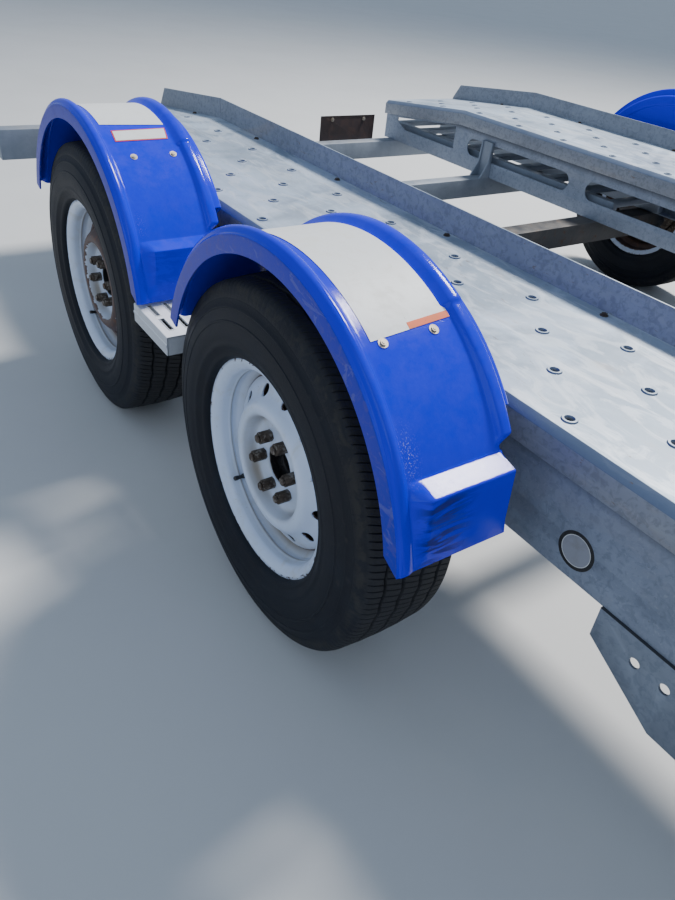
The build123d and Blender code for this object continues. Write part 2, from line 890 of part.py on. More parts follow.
for hand, y0 in RUNWAYS:
    runway_deck(f"runway_deck_{hand}", y0)
    runway_web(f"rolled_edge_web_{hand}", y0 + web_recess, 1)
    runway_web(f"upstand_web_{hand}", y0 + runway_width - web_recess, -1)
    loading_ramp(f"loading_ramp_{hand}", y0)
wheel_stops()

below = web_bottom - cross_height / 2
crossmember("crossmember_rear", rear_x + rear_cross_inset, below, web_y)
crossmember("crossmember_middle", rear_x + mid_cross_inset, below, web_y)
crossmember("crossmember_nose", front_x - nose_cross_inset, leg_top + cross_height / 2, gap_y)
rib_brackets()
front_beam()
beam_gussets()

for word, wheel_x in AXLES:
    torsion_axle(f"torsion_axle_{word}", wheel_x)
    for hand, side in SIDES:
        tyre(f"tyre_{word}_{hand}", wheel_x, side)
        rim(f"rim_{word}_{hand}", wheel_x, side)
        hub(f"hub_{word}_{hand}", wheel_x, side)
        mudguard(f"mudguard_{word}_{hand}", wheel_x, side)
mudguard_brackets()
for hand, side in SIDES:
    step_plate(f"step_plate_{hand}", side)
    drawbar_leg(f"drawbar_leg_{hand}", side)

coupler()
jack_tube()
jack_leg()
jack_handle()
lamp_boxes()
tail_lamps()
plate_bracket()
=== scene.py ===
# %% [markdown]
# # A car transporter trailer, dressed in Blender
# The trailer's steel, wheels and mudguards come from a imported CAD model, in metres, with
# +X forward, +Y to the left and +Z up. That model fixes every size. This lesson gives it
# soft edges, tread, nuts, labels, weather and light. Each step says what the real thing
# is like, how it could be made, and why it is made this way.

import json
import math

import bmesh
import bpy
import numpy as np
from mathutils import Matrix, Vector


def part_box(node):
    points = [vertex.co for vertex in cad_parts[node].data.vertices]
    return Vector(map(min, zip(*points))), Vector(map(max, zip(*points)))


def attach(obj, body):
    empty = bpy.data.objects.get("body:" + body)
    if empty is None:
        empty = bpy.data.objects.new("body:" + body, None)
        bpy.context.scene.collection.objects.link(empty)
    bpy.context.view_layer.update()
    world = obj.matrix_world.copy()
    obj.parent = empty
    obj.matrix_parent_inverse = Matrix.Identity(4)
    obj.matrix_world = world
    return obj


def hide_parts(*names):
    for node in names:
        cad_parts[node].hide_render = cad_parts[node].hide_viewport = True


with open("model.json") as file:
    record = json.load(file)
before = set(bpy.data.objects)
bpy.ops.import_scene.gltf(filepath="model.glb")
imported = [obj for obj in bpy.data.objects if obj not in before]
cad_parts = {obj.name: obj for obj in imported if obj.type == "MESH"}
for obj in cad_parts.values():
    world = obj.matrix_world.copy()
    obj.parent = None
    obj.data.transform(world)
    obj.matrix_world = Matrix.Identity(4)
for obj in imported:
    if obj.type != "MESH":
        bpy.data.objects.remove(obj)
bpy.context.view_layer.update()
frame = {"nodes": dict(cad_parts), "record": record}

# %% [markdown]
# ## Where the wheels and guards are
# Nothing is typed in twice if it can be read: the wheel centres come from the tyres' own
# boxes, and the runways' edges from their sheets. Only the shapes that the CAD model
# leaves plain get numbers here.

# %% Measure the frame
SIDES = {"right": -1, "left": 1}
AXLES = ("front", "rear")
wheels = {}
for axle in AXLES:
    for hand, side in SIDES.items():
        low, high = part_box(f"tyre_{axle}_{hand}")
        wheels[axle, hand] = (low + high) / 2
TRACK_HALF = abs(wheels["front", "right"].y)
TYRE_RADIUS = wheels["front", "right"].z
RIM_HALF = 0.0825
WEB_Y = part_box("front_beam")[1].y
DECK = {hand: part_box(f"runway_deck_{hand}") for hand in SIDES}
GUARD_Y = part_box("mudguard_front_left")[1].y
print("wheels", {k: [round(c, 4) for c in v] for k, v in wheels.items()})

# %% [markdown]
# ## A few small tools
# Most pieces start as a grid of points that is woven into quads, such as a tyre (closed
# both ways) or a label (open both ways). Numpy is quick at that. Every finished piece is
# linked, given its finish, and told which body of the frame it rides on.

# %% Grids and meshes
def woven(points, around=True, across=True):
    """Points (u, v, 3) to vertices and quads; True closes the grid that way round."""
    nu, nv = points.shape[:2]
    u, v = np.meshgrid(
        np.arange(nu if around else nu - 1), np.arange(nv if across else nv - 1), indexing="ij"
    )
    u2, v2 = (u + 1) % nu, (v + 1) % nv
    faces = np.stack([u * nv + v, u2 * nv + v, u2 * nv + v2, u * nv + v2], -1)
    return points.reshape(-1, 3), faces.reshape(-1, 4)


def mesh_of(name, *parts):
    """One mesh from several (vertices, faces) parts."""
    verts, faces, start = [], [], 0
    for points, quads in parts:
        verts += np.asarray(points).tolist()
        faces += [[i + start for i in face] for face in np.asarray(quads).tolist()]
        start += len(points)
    mesh = bpy.data.meshes.new(name)
    mesh.from_pydata(verts, [], faces)
    mesh.update()
    return mesh


# %% Changes to a mesh
def edited(mesh, *steps):
    """Run steps on a mesh in bmesh, one after another."""
    bm = bmesh.new()
    bm.from_mesh(mesh)
    for step in steps:
        step(bm)
    bm.to_mesh(mesh)
    bm.free()
    return mesh


def welded(bm, reach=1e-6):
    bmesh.ops.remove_doubles(bm, verts=bm.verts, dist=reach)


def faced(bm):
    bmesh.ops.recalc_face_normals(bm, faces=bm.faces)


def outward(mesh):
    """Turn every face of a closed shell outwards."""
    return edited(mesh, welded, faced)


def capped(mesh):
    """Close the open ends of a strip and face it outward."""
    return edited(mesh, lambda bm: bmesh.ops.holes_fill(bm, edges=bm.edges), faced)


def joined(mesh, *others):
    """Add other meshes to a mesh."""
    return edited(mesh, lambda bm: [bm.from_mesh(part) for part in others])


def smooth(mesh, angle=35):
    """Shade round, but keep edges sharper than the angle crisp."""
    mesh.polygons.foreach_set("use_smooth", [True] * len(mesh.polygons))
    mesh.set_sharp_from_angle(angle=math.radians(angle))
    return mesh


# %% Pieces of the trailer
def linked(name, mesh):
    obj = bpy.data.objects.new(name, mesh)
    bpy.context.scene.collection.objects.link(obj)
    return obj


def baked(obj):
    """Put the result of an object's modifiers into its mesh and drop the modifiers."""
    bpy.context.view_layer.update()
    graph = bpy.context.evaluated_depsgraph_get()
    mesh = bpy.data.meshes.new_from_object(obj.evaluated_get(graph))
    obj.modifiers.clear()
    obj.data = mesh
    return obj


def finished(obj, body, finish, stands_for=()):
    """Give a piece its material, its body and the nodes it replaces."""
    obj.data.materials.clear()
    obj.data.materials.append(finish)
    obj.data.polygons.foreach_set("material_index", [0] * len(obj.data.polygons))
    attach(obj, body)
    if stands_for:
        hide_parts(*stands_for)
    return obj


def eased(points, steps=3):
    """A polyline of (x, y, radius) corners, each rounded by its own radius."""
    out = []
    for i, (x, y, radius) in enumerate(points):
        corner = np.array((x, y))
        if radius == 0 or i in (0, len(points) - 1):
            out.append(corner)
            continue
        arms = [np.array(points[j][:2]) - corner for j in (i - 1, i + 1)]
        a, b = [corner + v * min(radius, 0.48 * np.hypot(*v)) / np.hypot(*v) for v in arms]
        for t in np.linspace(0, 1, steps + 1):
            out.append((1 - t) ** 2 * a + 2 * t * (1 - t) * corner + t * t * b)
    return np.array(out)


# %% [markdown]
# ## Weather as node groups
# Hot-dip zinc, old paint and rubber are all uneven in the same few ways: broad mottling,
# long streaks, small specks, and dust on what faces up. Each of these could be painted
# into every material again. One group per effect is built instead, and each material
# places it with its own scale and strength.

# %% The shared weather groups
FLOAT, VECTOR = "NodeSocketFloat", "NodeSocketVector"


def with_inputs(tree, inputs):
    for label, kind, value in inputs:
        socket = tree.interface.new_socket(label, in_out="INPUT", socket_type=kind)
        if value is not None:
            socket.default_value = value


def shader_group(name, inputs, outputs):
    group = bpy.data.node_groups.new(name, "ShaderNodeTree")
    with_inputs(group, inputs)
    for label in outputs:
        group.interface.new_socket(label, in_out="OUTPUT", socket_type=FLOAT)
    return group, group.nodes.new("NodeGroupInput"), group.nodes.new("NodeGroupOutput")


def wired(tree, node, links):
    """Feed a node's inputs, each with a value or with another node's output."""
    for key, value in links.items():
        if isinstance(value, bpy.types.NodeSocket):
            tree.links.new(value, node.inputs[key])
        else:
            node.inputs[key].default_value = value
    return node


def add_node(tree, kind, links=None, **settings):
    node = tree.nodes.new(kind)
    for key, value in settings.items():
        setattr(node, key, value)
    return wired(tree, node, links or {})


def computed(tree, how, a, b=None):
    """The output of a Math node."""
    links = {0: a} if b is None else {0: a, 1: b}
    return add_node(tree, "ShaderNodeMath", links, operation=how).outputs[0]


def combined(tree, how, a, b):
    """The output of a Vector Math node."""
    return add_node(tree, "ShaderNodeVectorMath", {0: a, 1: b}, operation=how).outputs[0]


def noise(tree, vector, scale, detail, **inputs):
    return add_node(tree, "ShaderNodeTexNoise", {"Vector": vector, "Scale": scale,
                    "Detail": detail, **inputs})


def ranged(tree, value, low, high, **settings):
    """The output of a Map Range node: 0 at low, 1 at high."""
    return add_node(tree, "ShaderNodeMapRange", {"Value": value, "From Min": low,
                    "From Max": high}, **settings).outputs[0]


def patches_group():
    """Noise patches between two thresholds, stretched by the vector's scale."""
    group, source, sink = shader_group("patches", [
        ("Vector", VECTOR, None), ("Stretch", VECTOR, (1, 1, 1)), ("Scale", FLOAT, 8.0),
        ("Low", FLOAT, 0.4), ("High", FLOAT, 0.6), ("Warp", FLOAT, 0.3)], ["Mask"])
    out = source.outputs
    at = combined(group, "MULTIPLY", out["Vector"], out["Stretch"])
    cloud = noise(group, at, out["Scale"], 6.0, Roughness=0.62, Distortion=out["Warp"])
    level = ranged(group, cloud.outputs["Fac"], out["Low"], out["High"],
                   interpolation_type="SMOOTHSTEP")
    wired(group, sink, {"Mask": level})
    return group


def spangle_group():
    """Crystals of zinc: flat cells of slightly different grey, blurred at their edges."""
    group, source, sink = shader_group("zinc_spangle", [
        ("Vector", VECTOR, None), ("Scale", FLOAT, 90.0)], ["Shade", "Height"])
    out = source.outputs
    warp = noise(group, out["Vector"], 40.0, 2.0).outputs["Color"]
    push = combined(group, "MULTIPLY", warp, (0.012,) * 3)
    at = combined(group, "ADD", out["Vector"], push)
    cells = add_node(group, "ShaderNodeTexVoronoi", {"Vector": at, "Scale": out["Scale"]})
    grey = add_node(group, "ShaderNodeRGBToBW", {"Color": cells.outputs["Color"]})
    fine = noise(group, out["Vector"], 420.0, 3.0)
    wired(group, sink, {"Shade": grey.outputs[0], "Height": fine.outputs["Fac"]})
    return group


def settled_group():
    """Dust: patches that lie only where the surface faces up."""
    group, source, sink = shader_group("settled_dust", [
        ("Vector", VECTOR, None), ("Normal", VECTOR, None), ("Scale", FLOAT, 14.0),
        ("Amount", FLOAT, 0.5)], ["Mask"])
    out = source.outputs
    parts = add_node(group, "ShaderNodeSeparateXYZ", {0: out["Normal"]})
    up = ranged(group, parts.outputs["Z"], 0.15, 0.95, interpolation_type="SMOOTHSTEP")
    cloud = noise(group, out["Vector"], out["Scale"], 7.0, Roughness=0.7)
    lying = computed(group, "MULTIPLY", up, ranged(group, cloud.outputs["Fac"], 0.35, 0.75))
    wired(group, sink, {"Mask": computed(group, "MULTIPLY", lying, out["Amount"])})
    return group


PATCHES, SPANGLE, SETTLED = patches_group(), spangle_group(), settled_group()
print("groups", [g.name for g in (PATCHES, SPANGLE, SETTLED)])


# %% [markdown]
# A finish on the trailer is a base with layers over it, as dirt lies over paint. Its nodes
# could be laid out by hand for every material. A small class does it instead: each call
# adds one mask, one layer or one bump, so a finish reads as a list of what settled on it.

# %% A small material builder
class Finish:
    """A Principled material that is built up layer by layer over its base colour."""

    def __init__(self, name, colour, roughness, metallic=0.0, **sockets):
        self.material = bpy.data.materials.new(name)
        self.material.use_nodes = True
        self.tree = self.material.node_tree
        self.shader = self.tree.nodes["Principled BSDF"]
        self.shader.inputs["Roughness"].default_value = roughness
        self.shader.inputs["Metallic"].default_value = metallic
        for key, value in sockets.items():
            self.shader.inputs[key.replace("_", " ")].default_value = value
        self.at = self.node("ShaderNodeTexCoord").outputs["Object"]
        self.facing = self.node("ShaderNodeNewGeometry").outputs["Normal"]
        colours = self.node("ShaderNodeRGB")
        colours.outputs[0].default_value = (*colour, 1)
        self.colour, self.rough, self.height = colours.outputs[0], None, None
        self.base_roughness = roughness

    def node(self, kind, links=None, **settings):
        return add_node(self.tree, kind, links, **settings)

    def group(self, tree, **inputs):
        node = self.node("ShaderNodeGroup", node_tree=tree)
        return wired(self.tree, node, {"Vector": self.at, **inputs})

    def patches(self, scale, low, high, stretch=(1, 1, 1), warp=0.3):
        return self.group(PATCHES, Scale=scale, Low=low, High=high, Stretch=stretch,
                          Warp=warp).outputs["Mask"]

    def dust(self, scale, amount):
        return self.group(SETTLED, Normal=self.facing, Scale=scale, Amount=amount).outputs["Mask"]

    def along_z(self, vector):
        return self.node("ShaderNodeSeparateXYZ", {0: vector}).outputs["Z"]

    def upright(self):
        """White on faces that stand, black on faces that lie."""
        steep = computed(self.tree, "ABSOLUTE", self.along_z(self.facing))
        return ranged(self.tree, steep, 0.8, 0.35)

    def slanting(self):
        """White on faces that lean between upright and flat."""
        near = computed(self.tree, "SUBTRACT", self.along_z(self.facing), 0.6)
        return ranged(self.tree, computed(self.tree, "ABSOLUTE", near), 0.32, 0.22)

    def under(self, level, reach):
        """White at a height and above it, fading out over a reach below."""
        return ranged(self.tree, self.along_z(self.at), level - reach, level)

    def attribute(self, name):
        return self.node("ShaderNodeAttribute", attribute_name=name).outputs["Fac"]

    def eaten(self, name, scale):
        """White where the attribute beats the noise, so that a soft edge turns ragged."""
        grain = self.patches(scale, 0.25, 0.75)
        level = computed(self.tree, "SUBTRACT", self.attribute(name), grain)
        return ranged(self.tree, level, 0.0, 0.06)

    def times(self, a, b):
        return computed(self.tree, "MULTIPLY", a, b)

    def layer(self, mask, colour, share=1.0, roughness=None):
        """Lay a colour over what is there, where the mask is white."""
        mask = self.times(mask, share)
        mix = self.node("ShaderNodeMix", {"Factor": mask}, data_type="RGBA")
        self.tree.links.new(self.colour, mix.inputs[6])
        mix.inputs[7].default_value = (*colour, 1)
        self.colour = mix.outputs[2]
        if roughness is not None:
            before = self.rough if self.rough is not None else self.base_roughness
            blend = self.node("ShaderNodeMix", {"Factor": mask, 2: before, 3: roughness})
            self.rough = blend.outputs[0]
        return self

    def bump(self, height, distance, strength=1.0):
        links = {"Height": height, "Distance": distance, "Strength": strength}
        if self.height is not None:
            links["Normal"] = self.height
        self.height = self.node("ShaderNodeBump", links).outputs["Normal"]
        return self

    def done(self):
        self.tree.links.new(self.colour, self.shader.inputs["Base Color"])
        if self.rough is not None:
            self.tree.links.new(self.rough, self.shader.inputs["Roughness"])
        if self.height is not None:
            self.tree.links.new(self.height, self.shader.inputs["Normal"])
        return self.material


# %% [markdown]
# ## Galvanised steel
# Zinc that has been out for years is pale and chalky on top, where rain lies. The sides
# are given darker and bluer colours, which are painted shade. A scan of real sheet would
# tile and show its repeats. Layers of noise don't: crystals first, then broad mottling,
# then long pale streaks, then grit.

# %% Zinc finishes
def zinc(name, colour, roughness, streaks, streak_share, spangle=90.0, metallic=0.45):
    f = Finish(name, colour, roughness, metallic)
    crystals = f.group(SPANGLE, Scale=spangle)
    dark = tuple(c * 0.72 for c in colour)
    pale = tuple(min(1.0, c * 1.32 + 0.03) for c in colour)
    f.layer(crystals.outputs["Shade"], dark, 0.35)
    f.layer(f.patches(3.2, 0.38, 0.66, warp=0.8), pale, 0.55, roughness + 0.1)
    f.layer(f.patches(11.0, 0.45, 0.72, streaks, 0.4), pale, streak_share, roughness + 0.16)
    f.layer(f.patches(26.0, 0.58, 0.74, warp=1.2), dark, 0.45)
    f.layer(f.patches(170.0, 0.66, 0.74), (0.10, 0.085, 0.07), 0.45, 0.8)
    f.bump(crystals.outputs["Height"], 0.0004, 0.35)
    return f


def deck_finish():
    f = zinc("deck_zinc", (0.34, 0.41, 0.50), 0.42, (0.18, 1, 1), 0.8, 48.0)
    f.layer(f.patches(2.6, 0.47, 0.58, (1, 0.6, 1), 1.4), (0.21, 0.27, 0.345), 0.6)
    f.layer(f.patches(13.0, 0.50, 0.60, (0.5, 1, 1), 1.6), (0.58, 0.63, 0.69), 0.5)
    f.layer(f.patches(34.0, 0.55, 0.63, (0.12, 1, 1), 0.6), (0.62, 0.66, 0.71), 0.45)
    f.layer(f.dust(9.0, 0.5), (0.52, 0.52, 0.50), 0.45, 0.8)
    # the folded edge: its upright strip painted darker than the deck, with mottling, and the
    # bevel over it painted dark blue; both are painted shade
    f.layer(f.upright(), (0.245, 0.26, 0.30), 0.8, 0.55)
    f.layer(f.times(f.upright(), f.patches(70.0, 0.46, 0.62, warp=0.8)), (0.15, 0.165, 0.20), 0.5)
    f.layer(f.slanting(), (0.085, 0.125, 0.215), 0.75, 0.45)
    f.layer(f.patches(5.5, 0.60, 0.72, (0.4, 1, 1), 1.0), (0.42, 0.32, 0.22), 0.25)
    f.layer(f.patches(60.0, 0.66, 0.69, (0.22, 1, 1), 2.5), (0.20, 0.13, 0.08), 0.6)
    return f.done()


# the height of the folded strip's lower edge, and how far the painted shadow under it reaches
FOLD_EDGE, FOLD_SHADE = 0.548, 0.024
GRIT = (75.0, 0.48, 0.62, (1, 1, 1), 0.8), (0.15, 0.18, 0.235)


def web_finish(name, painted_shadow):
    # the webs are darker and bluer than the deck: painted shade
    f = zinc(name, (0.235, 0.275, 0.35), 0.5, (1, 1, 0.25), 0.35, 120.0)
    f.layer(f.patches(*GRIT[0]), GRIT[1], 0.5)
    f.layer(f.patches(190.0, 0.56, 0.66), (0.36, 0.40, 0.47), 0.4)
    f.layer(f.patches(7.0, 0.52, 0.64, (0.7, 1, 1), 1.2), (0.30, 0.32, 0.37), 0.35)
    f.layer(f.dust(16.0, 0.45), (0.36, 0.35, 0.33), 0.8, 0.8)
    if painted_shadow:
        # a painted shadow under the folded strip: darkest at its edge, fading out below
        f.layer(f.under(FOLD_EDGE, FOLD_SHADE), (0.075, 0.085, 0.105), 0.8, 0.8)
    return f.done()


def frame_finish(name, dark_topped):
    """Bars are dusty on top; the gussets have grit and near-black tops instead."""
    f = zinc(name, (0.22, 0.255, 0.31), 0.52, (1, 1, 0.3), 0.4, 110.0)
    if dark_topped:
        f.layer(f.patches(*GRIT[0]), GRIT[1], 0.4)
        # near-black over the up-facing patches that the dust mask gives
        f.layer(f.dust(12.0, 1.0), (0.028, 0.030, 0.034), 1.0, 0.9)
    else:
        f.layer(f.dust(12.0, 0.6), (0.40, 0.38, 0.35), 0.9, 0.85)
    return f.done()


DECK_ZINC = deck_finish()
SIDE_ZINC, SHADOWED_SIDE_ZINC = web_finish("side_zinc", False), web_finish("fold_side_zinc", True)
FRAME_ZINC, GUSSET_ZINC = frame_finish("frame_zinc", False), frame_finish("gusset_zinc", True)


# %% [markdown]
# ## Dark steel, rust and aluminium
# The torsion axles, coupler and crank are darker and browner than the zinc; the hubs and
# nuts have rusted right through. The step between the guards is bare aluminium.

# %% Other metals
def dark_steel():
    f = Finish("dark_steel", (0.045, 0.048, 0.055), 0.5, 0.5)
    f.layer(f.patches(7.0, 0.45, 0.7, warp=0.9), (0.11, 0.10, 0.095), 0.7, 0.65)
    f.layer(f.patches(38.0, 0.56, 0.68), (0.12, 0.055, 0.028), 0.6, 0.85)
    f.layer(f.dust(15.0, 0.6), (0.30, 0.27, 0.23), 0.8, 0.9)
    f.bump(f.patches(240.0, 0.3, 0.7), 0.0006, 0.4)
    return f.done()


def rusty_iron():
    f = Finish("rusty_iron", (0.105, 0.082, 0.062), 0.5, 0.6)
    f.layer(f.patches(60.0, 0.42, 0.6), (0.050, 0.036, 0.028), 0.75, 0.75)
    f.layer(f.patches(24.0, 0.56, 0.7, warp=1.0), (0.20, 0.095, 0.045), 0.5, 0.9)
    f.layer(f.patches(110.0, 0.52, 0.62), (0.34, 0.31, 0.27), 0.5, 0.4)
    # the hub's recessed bore is near-black: painted shade
    f.layer(f.attribute("bore"), (0.010, 0.010, 0.012), 0.95, 0.3)
    f.bump(f.patches(260.0, 0.25, 0.75), 0.0009, 0.6)
    return f.done()


def bare_aluminium():
    f = Finish("bare_aluminium", (0.90, 0.91, 0.92), 0.42, 0.15)
    f.layer(f.patches(60.0, 0.4, 0.7, (0.1, 1, 1)), (0.66, 0.68, 0.71), 0.5, 0.5)
    f.layer(f.patches(22.0, 0.58, 0.72), (0.40, 0.38, 0.35), 0.4, 0.7)
    f.layer(f.dust(20.0, 0.25), (0.5, 0.47, 0.42), 0.6, 0.8)
    # the upright sides are darker and bluer than the top: painted shade
    f.layer(f.upright(), (0.40, 0.43, 0.48), 0.75)
    f.bump(f.patches(300.0, 0.3, 0.7, (0.1, 1, 1)), 0.0003, 0.5)
    return f.done()


DARK_STEEL, RUSTY_IRON, BARE_ALUMINIUM = dark_steel(), rusty_iron(), bare_aluminium()


# %% [markdown]
# ## Moulded plastic
# The guards are coloured right through, so scratches show pale and never bare. The tread
# and ribs are glossy. The flat band on the outside is rubbed matt and slightly purple, and
# the boxed foot carries black scuffs. The mesh says where: the guard's points carry
# attributes named band, scuff and speck, which the material reads.

# %% Blue, white and black
def blue_plastic():
    f = Finish("blue_plastic", (0.0, 0.007, 0.68), 0.14, Specular_IOR_Level=0.24)
    f.layer(f.patches(3.0, 0.4, 0.7), (0.0, 0.010, 0.78), 0.5)
    band = f.attribute("band")
    f.layer(band, (0.010, 0.016, 0.34), 0.85, 0.4)
    worn = f.patches(45.0, 0.50, 0.62, (1, 1, 1), 1.6)
    f.layer(f.times(band, worn), (0.06, 0.055, 0.34), 0.6, 0.5)
    scratch = f.patches(26.0, 0.58, 0.62, (0.5, 1, 1.2), 2.2)
    f.layer(f.times(band, scratch), (0.16, 0.16, 0.42), 0.4, 0.6)
    scuff = f.patches(17.0, 0.43, 0.56, (1, 0.6, 2.6), 1.4)
    f.layer(f.times(f.attribute("scuff"), scuff), (0.004, 0.006, 0.020), 0.75, 0.6)
    speck = f.patches(360.0, 0.57, 0.61)
    f.layer(f.times(f.attribute("speck"), speck), (0.50, 0.52, 0.64), 0.6, 0.6)
    f.layer(f.patches(90.0, 0.72, 0.76), (0.20, 0.28, 0.70), 0.4, 0.5)
    f.layer(f.dust(30.0, 0.18), (0.30, 0.36, 0.60), 0.5, 0.5)
    f.bump(f.patches(14.0, 0.3, 0.7), 0.0010, 0.2)
    f.bump(f.patches(420.0, 0.3, 0.7), 0.0001, 0.4)
    return f.done()


def white_paint():
    # a white tinted blue: the tint is painted sky shade
    f = Finish("white_paint", (0.60, 0.69, 0.85), 0.32, Coat_Weight=0.15, Coat_Roughness=0.2)
    f.layer(f.patches(16.0, 0.48, 0.72, warp=0.8), (0.50, 0.48, 0.42), 0.45, 0.5)
    f.layer(f.attribute("grime"), (0.22, 0.17, 0.10), 0.85, 0.7)
    # rusting, and the painted shade in the vents and under the disc, from one attribute
    f.layer(f.eaten("rust", 90.0), (0.075, 0.038, 0.026), 0.97, 0.78)
    flaking = f.times(f.attribute("rust"), f.patches(70.0, 0.52, 0.64))
    f.layer(flaking, (0.17, 0.075, 0.04), 0.6, 0.85)
    f.layer(f.patches(140.0, 0.68, 0.73), (0.20, 0.13, 0.08), 0.8, 0.8)
    f.bump(f.patches(180.0, 0.3, 0.7), 0.0002, 0.35)
    return f.done()


def tyre_rubber():
    # a black tinted blue: the tint is painted sky shade
    f = Finish("tyre_rubber", (0.0045, 0.006, 0.011), 0.6, Specular_IOR_Level=0.3)
    f.layer(f.patches(9.0, 0.4, 0.68, warp=0.9), (0.010, 0.013, 0.020), 0.8, 0.7)
    f.layer(f.attribute("tread"), (0.034, 0.034, 0.036), 0.6, 0.8)
    soil = f.patches(38.0, 0.46, 0.58, (1, 1, 1), 1.0)
    f.layer(f.times(f.attribute("shoulder"), soil), (0.060, 0.054, 0.042), 0.35, 0.9)
    f.layer(f.patches(55.0, 0.58, 0.74), (0.050, 0.046, 0.042), 0.4, 0.9)
    f.bump(f.patches(330.0, 0.3, 0.7), 0.0004, 0.5)
    return f.done()


def plain_finish(name, colour, roughness, spot, **sockets):
    """A simple clean surface with a little unevenness: lenses, labels, blank plates."""
    f = Finish(name, colour, roughness, **sockets)
    f.layer(f.patches(35.0, 0.45, 0.7, warp=0.8), spot, 0.5, roughness + 0.12)
    f.layer(f.patches(210.0, 0.64, 0.72), tuple(c * 0.5 for c in spot), 0.4, 0.8)
    f.bump(f.patches(60.0, 0.3, 0.7), 0.0003, 0.3)
    return f.done()


BLUE, WHITE_PAINT, RUBBER = blue_plastic(), white_paint(), tyre_rubber()
LENS = plain_finish("red_lens", (0.42, 0.008, 0.008), 0.16, (0.30, 0.01, 0.01), Coat_Weight=0.6)
BROWN_PLATE = plain_finish("brown_plate", (0.028, 0.018, 0.018), 0.5, (0.07, 0.035, 0.025))
LABEL = plain_finish("label_vinyl", (0.72, 0.73, 0.72), 0.5, (0.66, 0.65, 0.60))
SEAM_DARK = plain_finish("seam_grime", (0.035, 0.039, 0.046), 0.9, (0.05, 0.048, 0.045))
STICKER = plain_finish("sticker_vinyl", (0.27, 0.285, 0.32), 0.45, (0.21, 0.205, 0.20))
ORANGE = plain_finish("orange_strip", (0.80, 0.11, 0.01), 0.6, (0.60, 0.20, 0.06))
RED_EDGE = plain_finish("red_border", (0.50, 0.02, 0.02), 0.5, (0.45, 0.16, 0.14))
BLACK_VINYL = plain_finish("black_vinyl", (0.012, 0.012, 0.014), 0.4, (0.05, 0.05, 0.05))
SCREW_ZINC = plain_finish("screw_zinc", (0.42, 0.38, 0.32), 0.4, (0.16, 0.10, 0.06), Metallic=0.7)
# near-black for the guard bars: painted shade
SHADE_BLACK_STEEL = plain_finish("dull_steel", (0.035, 0.040, 0.048), 0.75, (0.06, 0.06, 0.062))
print("finishes", len(bpy.data.materials))

# %% [markdown]
# ## Steel with soft edges
# A folded or cut edge is never razor sharp, and the thin line of light along it is what
# makes a steel bar look real. Each structural node is copied, its loose triangles merged
# and joined back into flat faces, and a small bevel runs round every corner. The copy then
# stands for the CAD node.

# %% Soften a node
def bevelled(obj, width, angle):
    bevel = obj.modifiers.new("bevel", "BEVEL")
    bevel.width, bevel.segments, bevel.limit_method = width, 2, "ANGLE"
    bevel.angle_limit = math.radians(angle)
    return baked(obj)


def softened(node, width=0.0012):
    source = frame["nodes"][node].data
    mesh = source.copy()
    mesh.name = f"{node}_soft"
    edited(mesh, lambda bm: welded(bm, 2e-5), lambda bm: bmesh.ops.dissolve_limit(
        bm, angle_limit=math.radians(0.6), verts=bm.verts, edges=bm.edges))
    obj = bevelled(linked(f"{node}_soft", mesh), width, 32)
    smooth(obj.data, 28)
    return obj


def body_of_node(node):
    bodies = frame["record"]["behaviour"]["bodies"]
    return next(body for body, members in bodies.items() if node in members)


def dress(names, finish, slot, width=0.0012):
    """Soften some nodes, finish them and let each stand for its node."""
    for node in names:
        finished(softened(node, width), body_of_node(node), finish, [node])
    print("softened", len(names), slot)


def on_both(stem):
    return [f"{stem}_{hand}" for hand in SIDES]


dress(on_both("rolled_edge_web"), SHADOWED_SIDE_ZINC, "galvanised")
dress(on_both("upstand_web"), SIDE_ZINC, "galvanised")
dress(["crossmember_rear", "crossmember_middle", "crossmember_nose", "front_beam"], FRAME_ZINC,
      "galvanised", 0.004)
dress(["beam_gussets"], GUSSET_ZINC, "galvanised", 0.0004)
dress(["rib_brackets", "wheel_stops", "lamp_boxes", "jack_tube", "jack_leg"],
      FRAME_ZINC, "galvanised")
dress(on_both("loading_ramp"), FRAME_ZINC, "galvanised", 0.003)
dress(on_both("drawbar_leg"), FRAME_ZINC, "galvanised", 0.004)
dress(["torsion_axle_front", "torsion_axle_rear"], DARK_STEEL, "dark_steel", 0.003)
dress(["coupler", "jack_handle"], DARK_STEEL, "dark_steel", 0.002)
dress(["plate_bracket"], BROWN_PLATE, "brown_plate", 0.0008)
dress(["tail_lamps"], LENS, "red_lens", 0.004)

# %% [markdown]
# ## Geometry Nodes for what repeats
# Holes, nuts and screws repeat by the dozen. Placing each by hand would hide the rule that
# they follow. Each tree below has its sizes as named inputs and ends in Realize Instances
# and Set Material. Its result is turned into a plain mesh before the piece is finished.

# %% Tree helpers
GEOMETRY = "NodeSocketGeometry"


def repeat_tree(name, inputs):
    """An empty Geometry Nodes tree with a mesh in, named inputs and a mesh out."""
    tree = bpy.data.node_groups.new(name, "GeometryNodeTree")
    tree.interface.new_socket("Geometry", in_out="INPUT", socket_type=GEOMETRY)
    with_inputs(tree, [*inputs, ("Material", "NodeSocketMaterial", None)])
    tree.interface.new_socket("Geometry", in_out="OUTPUT", socket_type=GEOMETRY)
    return tree, tree.nodes.new("NodeGroupInput"), tree.nodes.new("NodeGroupOutput")


def close_tree(tree, source, sink, geometry):
    real = add_node(tree, "GeometryNodeRealizeInstances", {"Geometry": geometry})
    paint = add_node(tree, "GeometryNodeSetMaterial", {"Geometry": real.outputs[0],
                     "Material": source.outputs["Material"]})
    tree.links.new(paint.outputs[0], sink.inputs["Geometry"])
    return tree


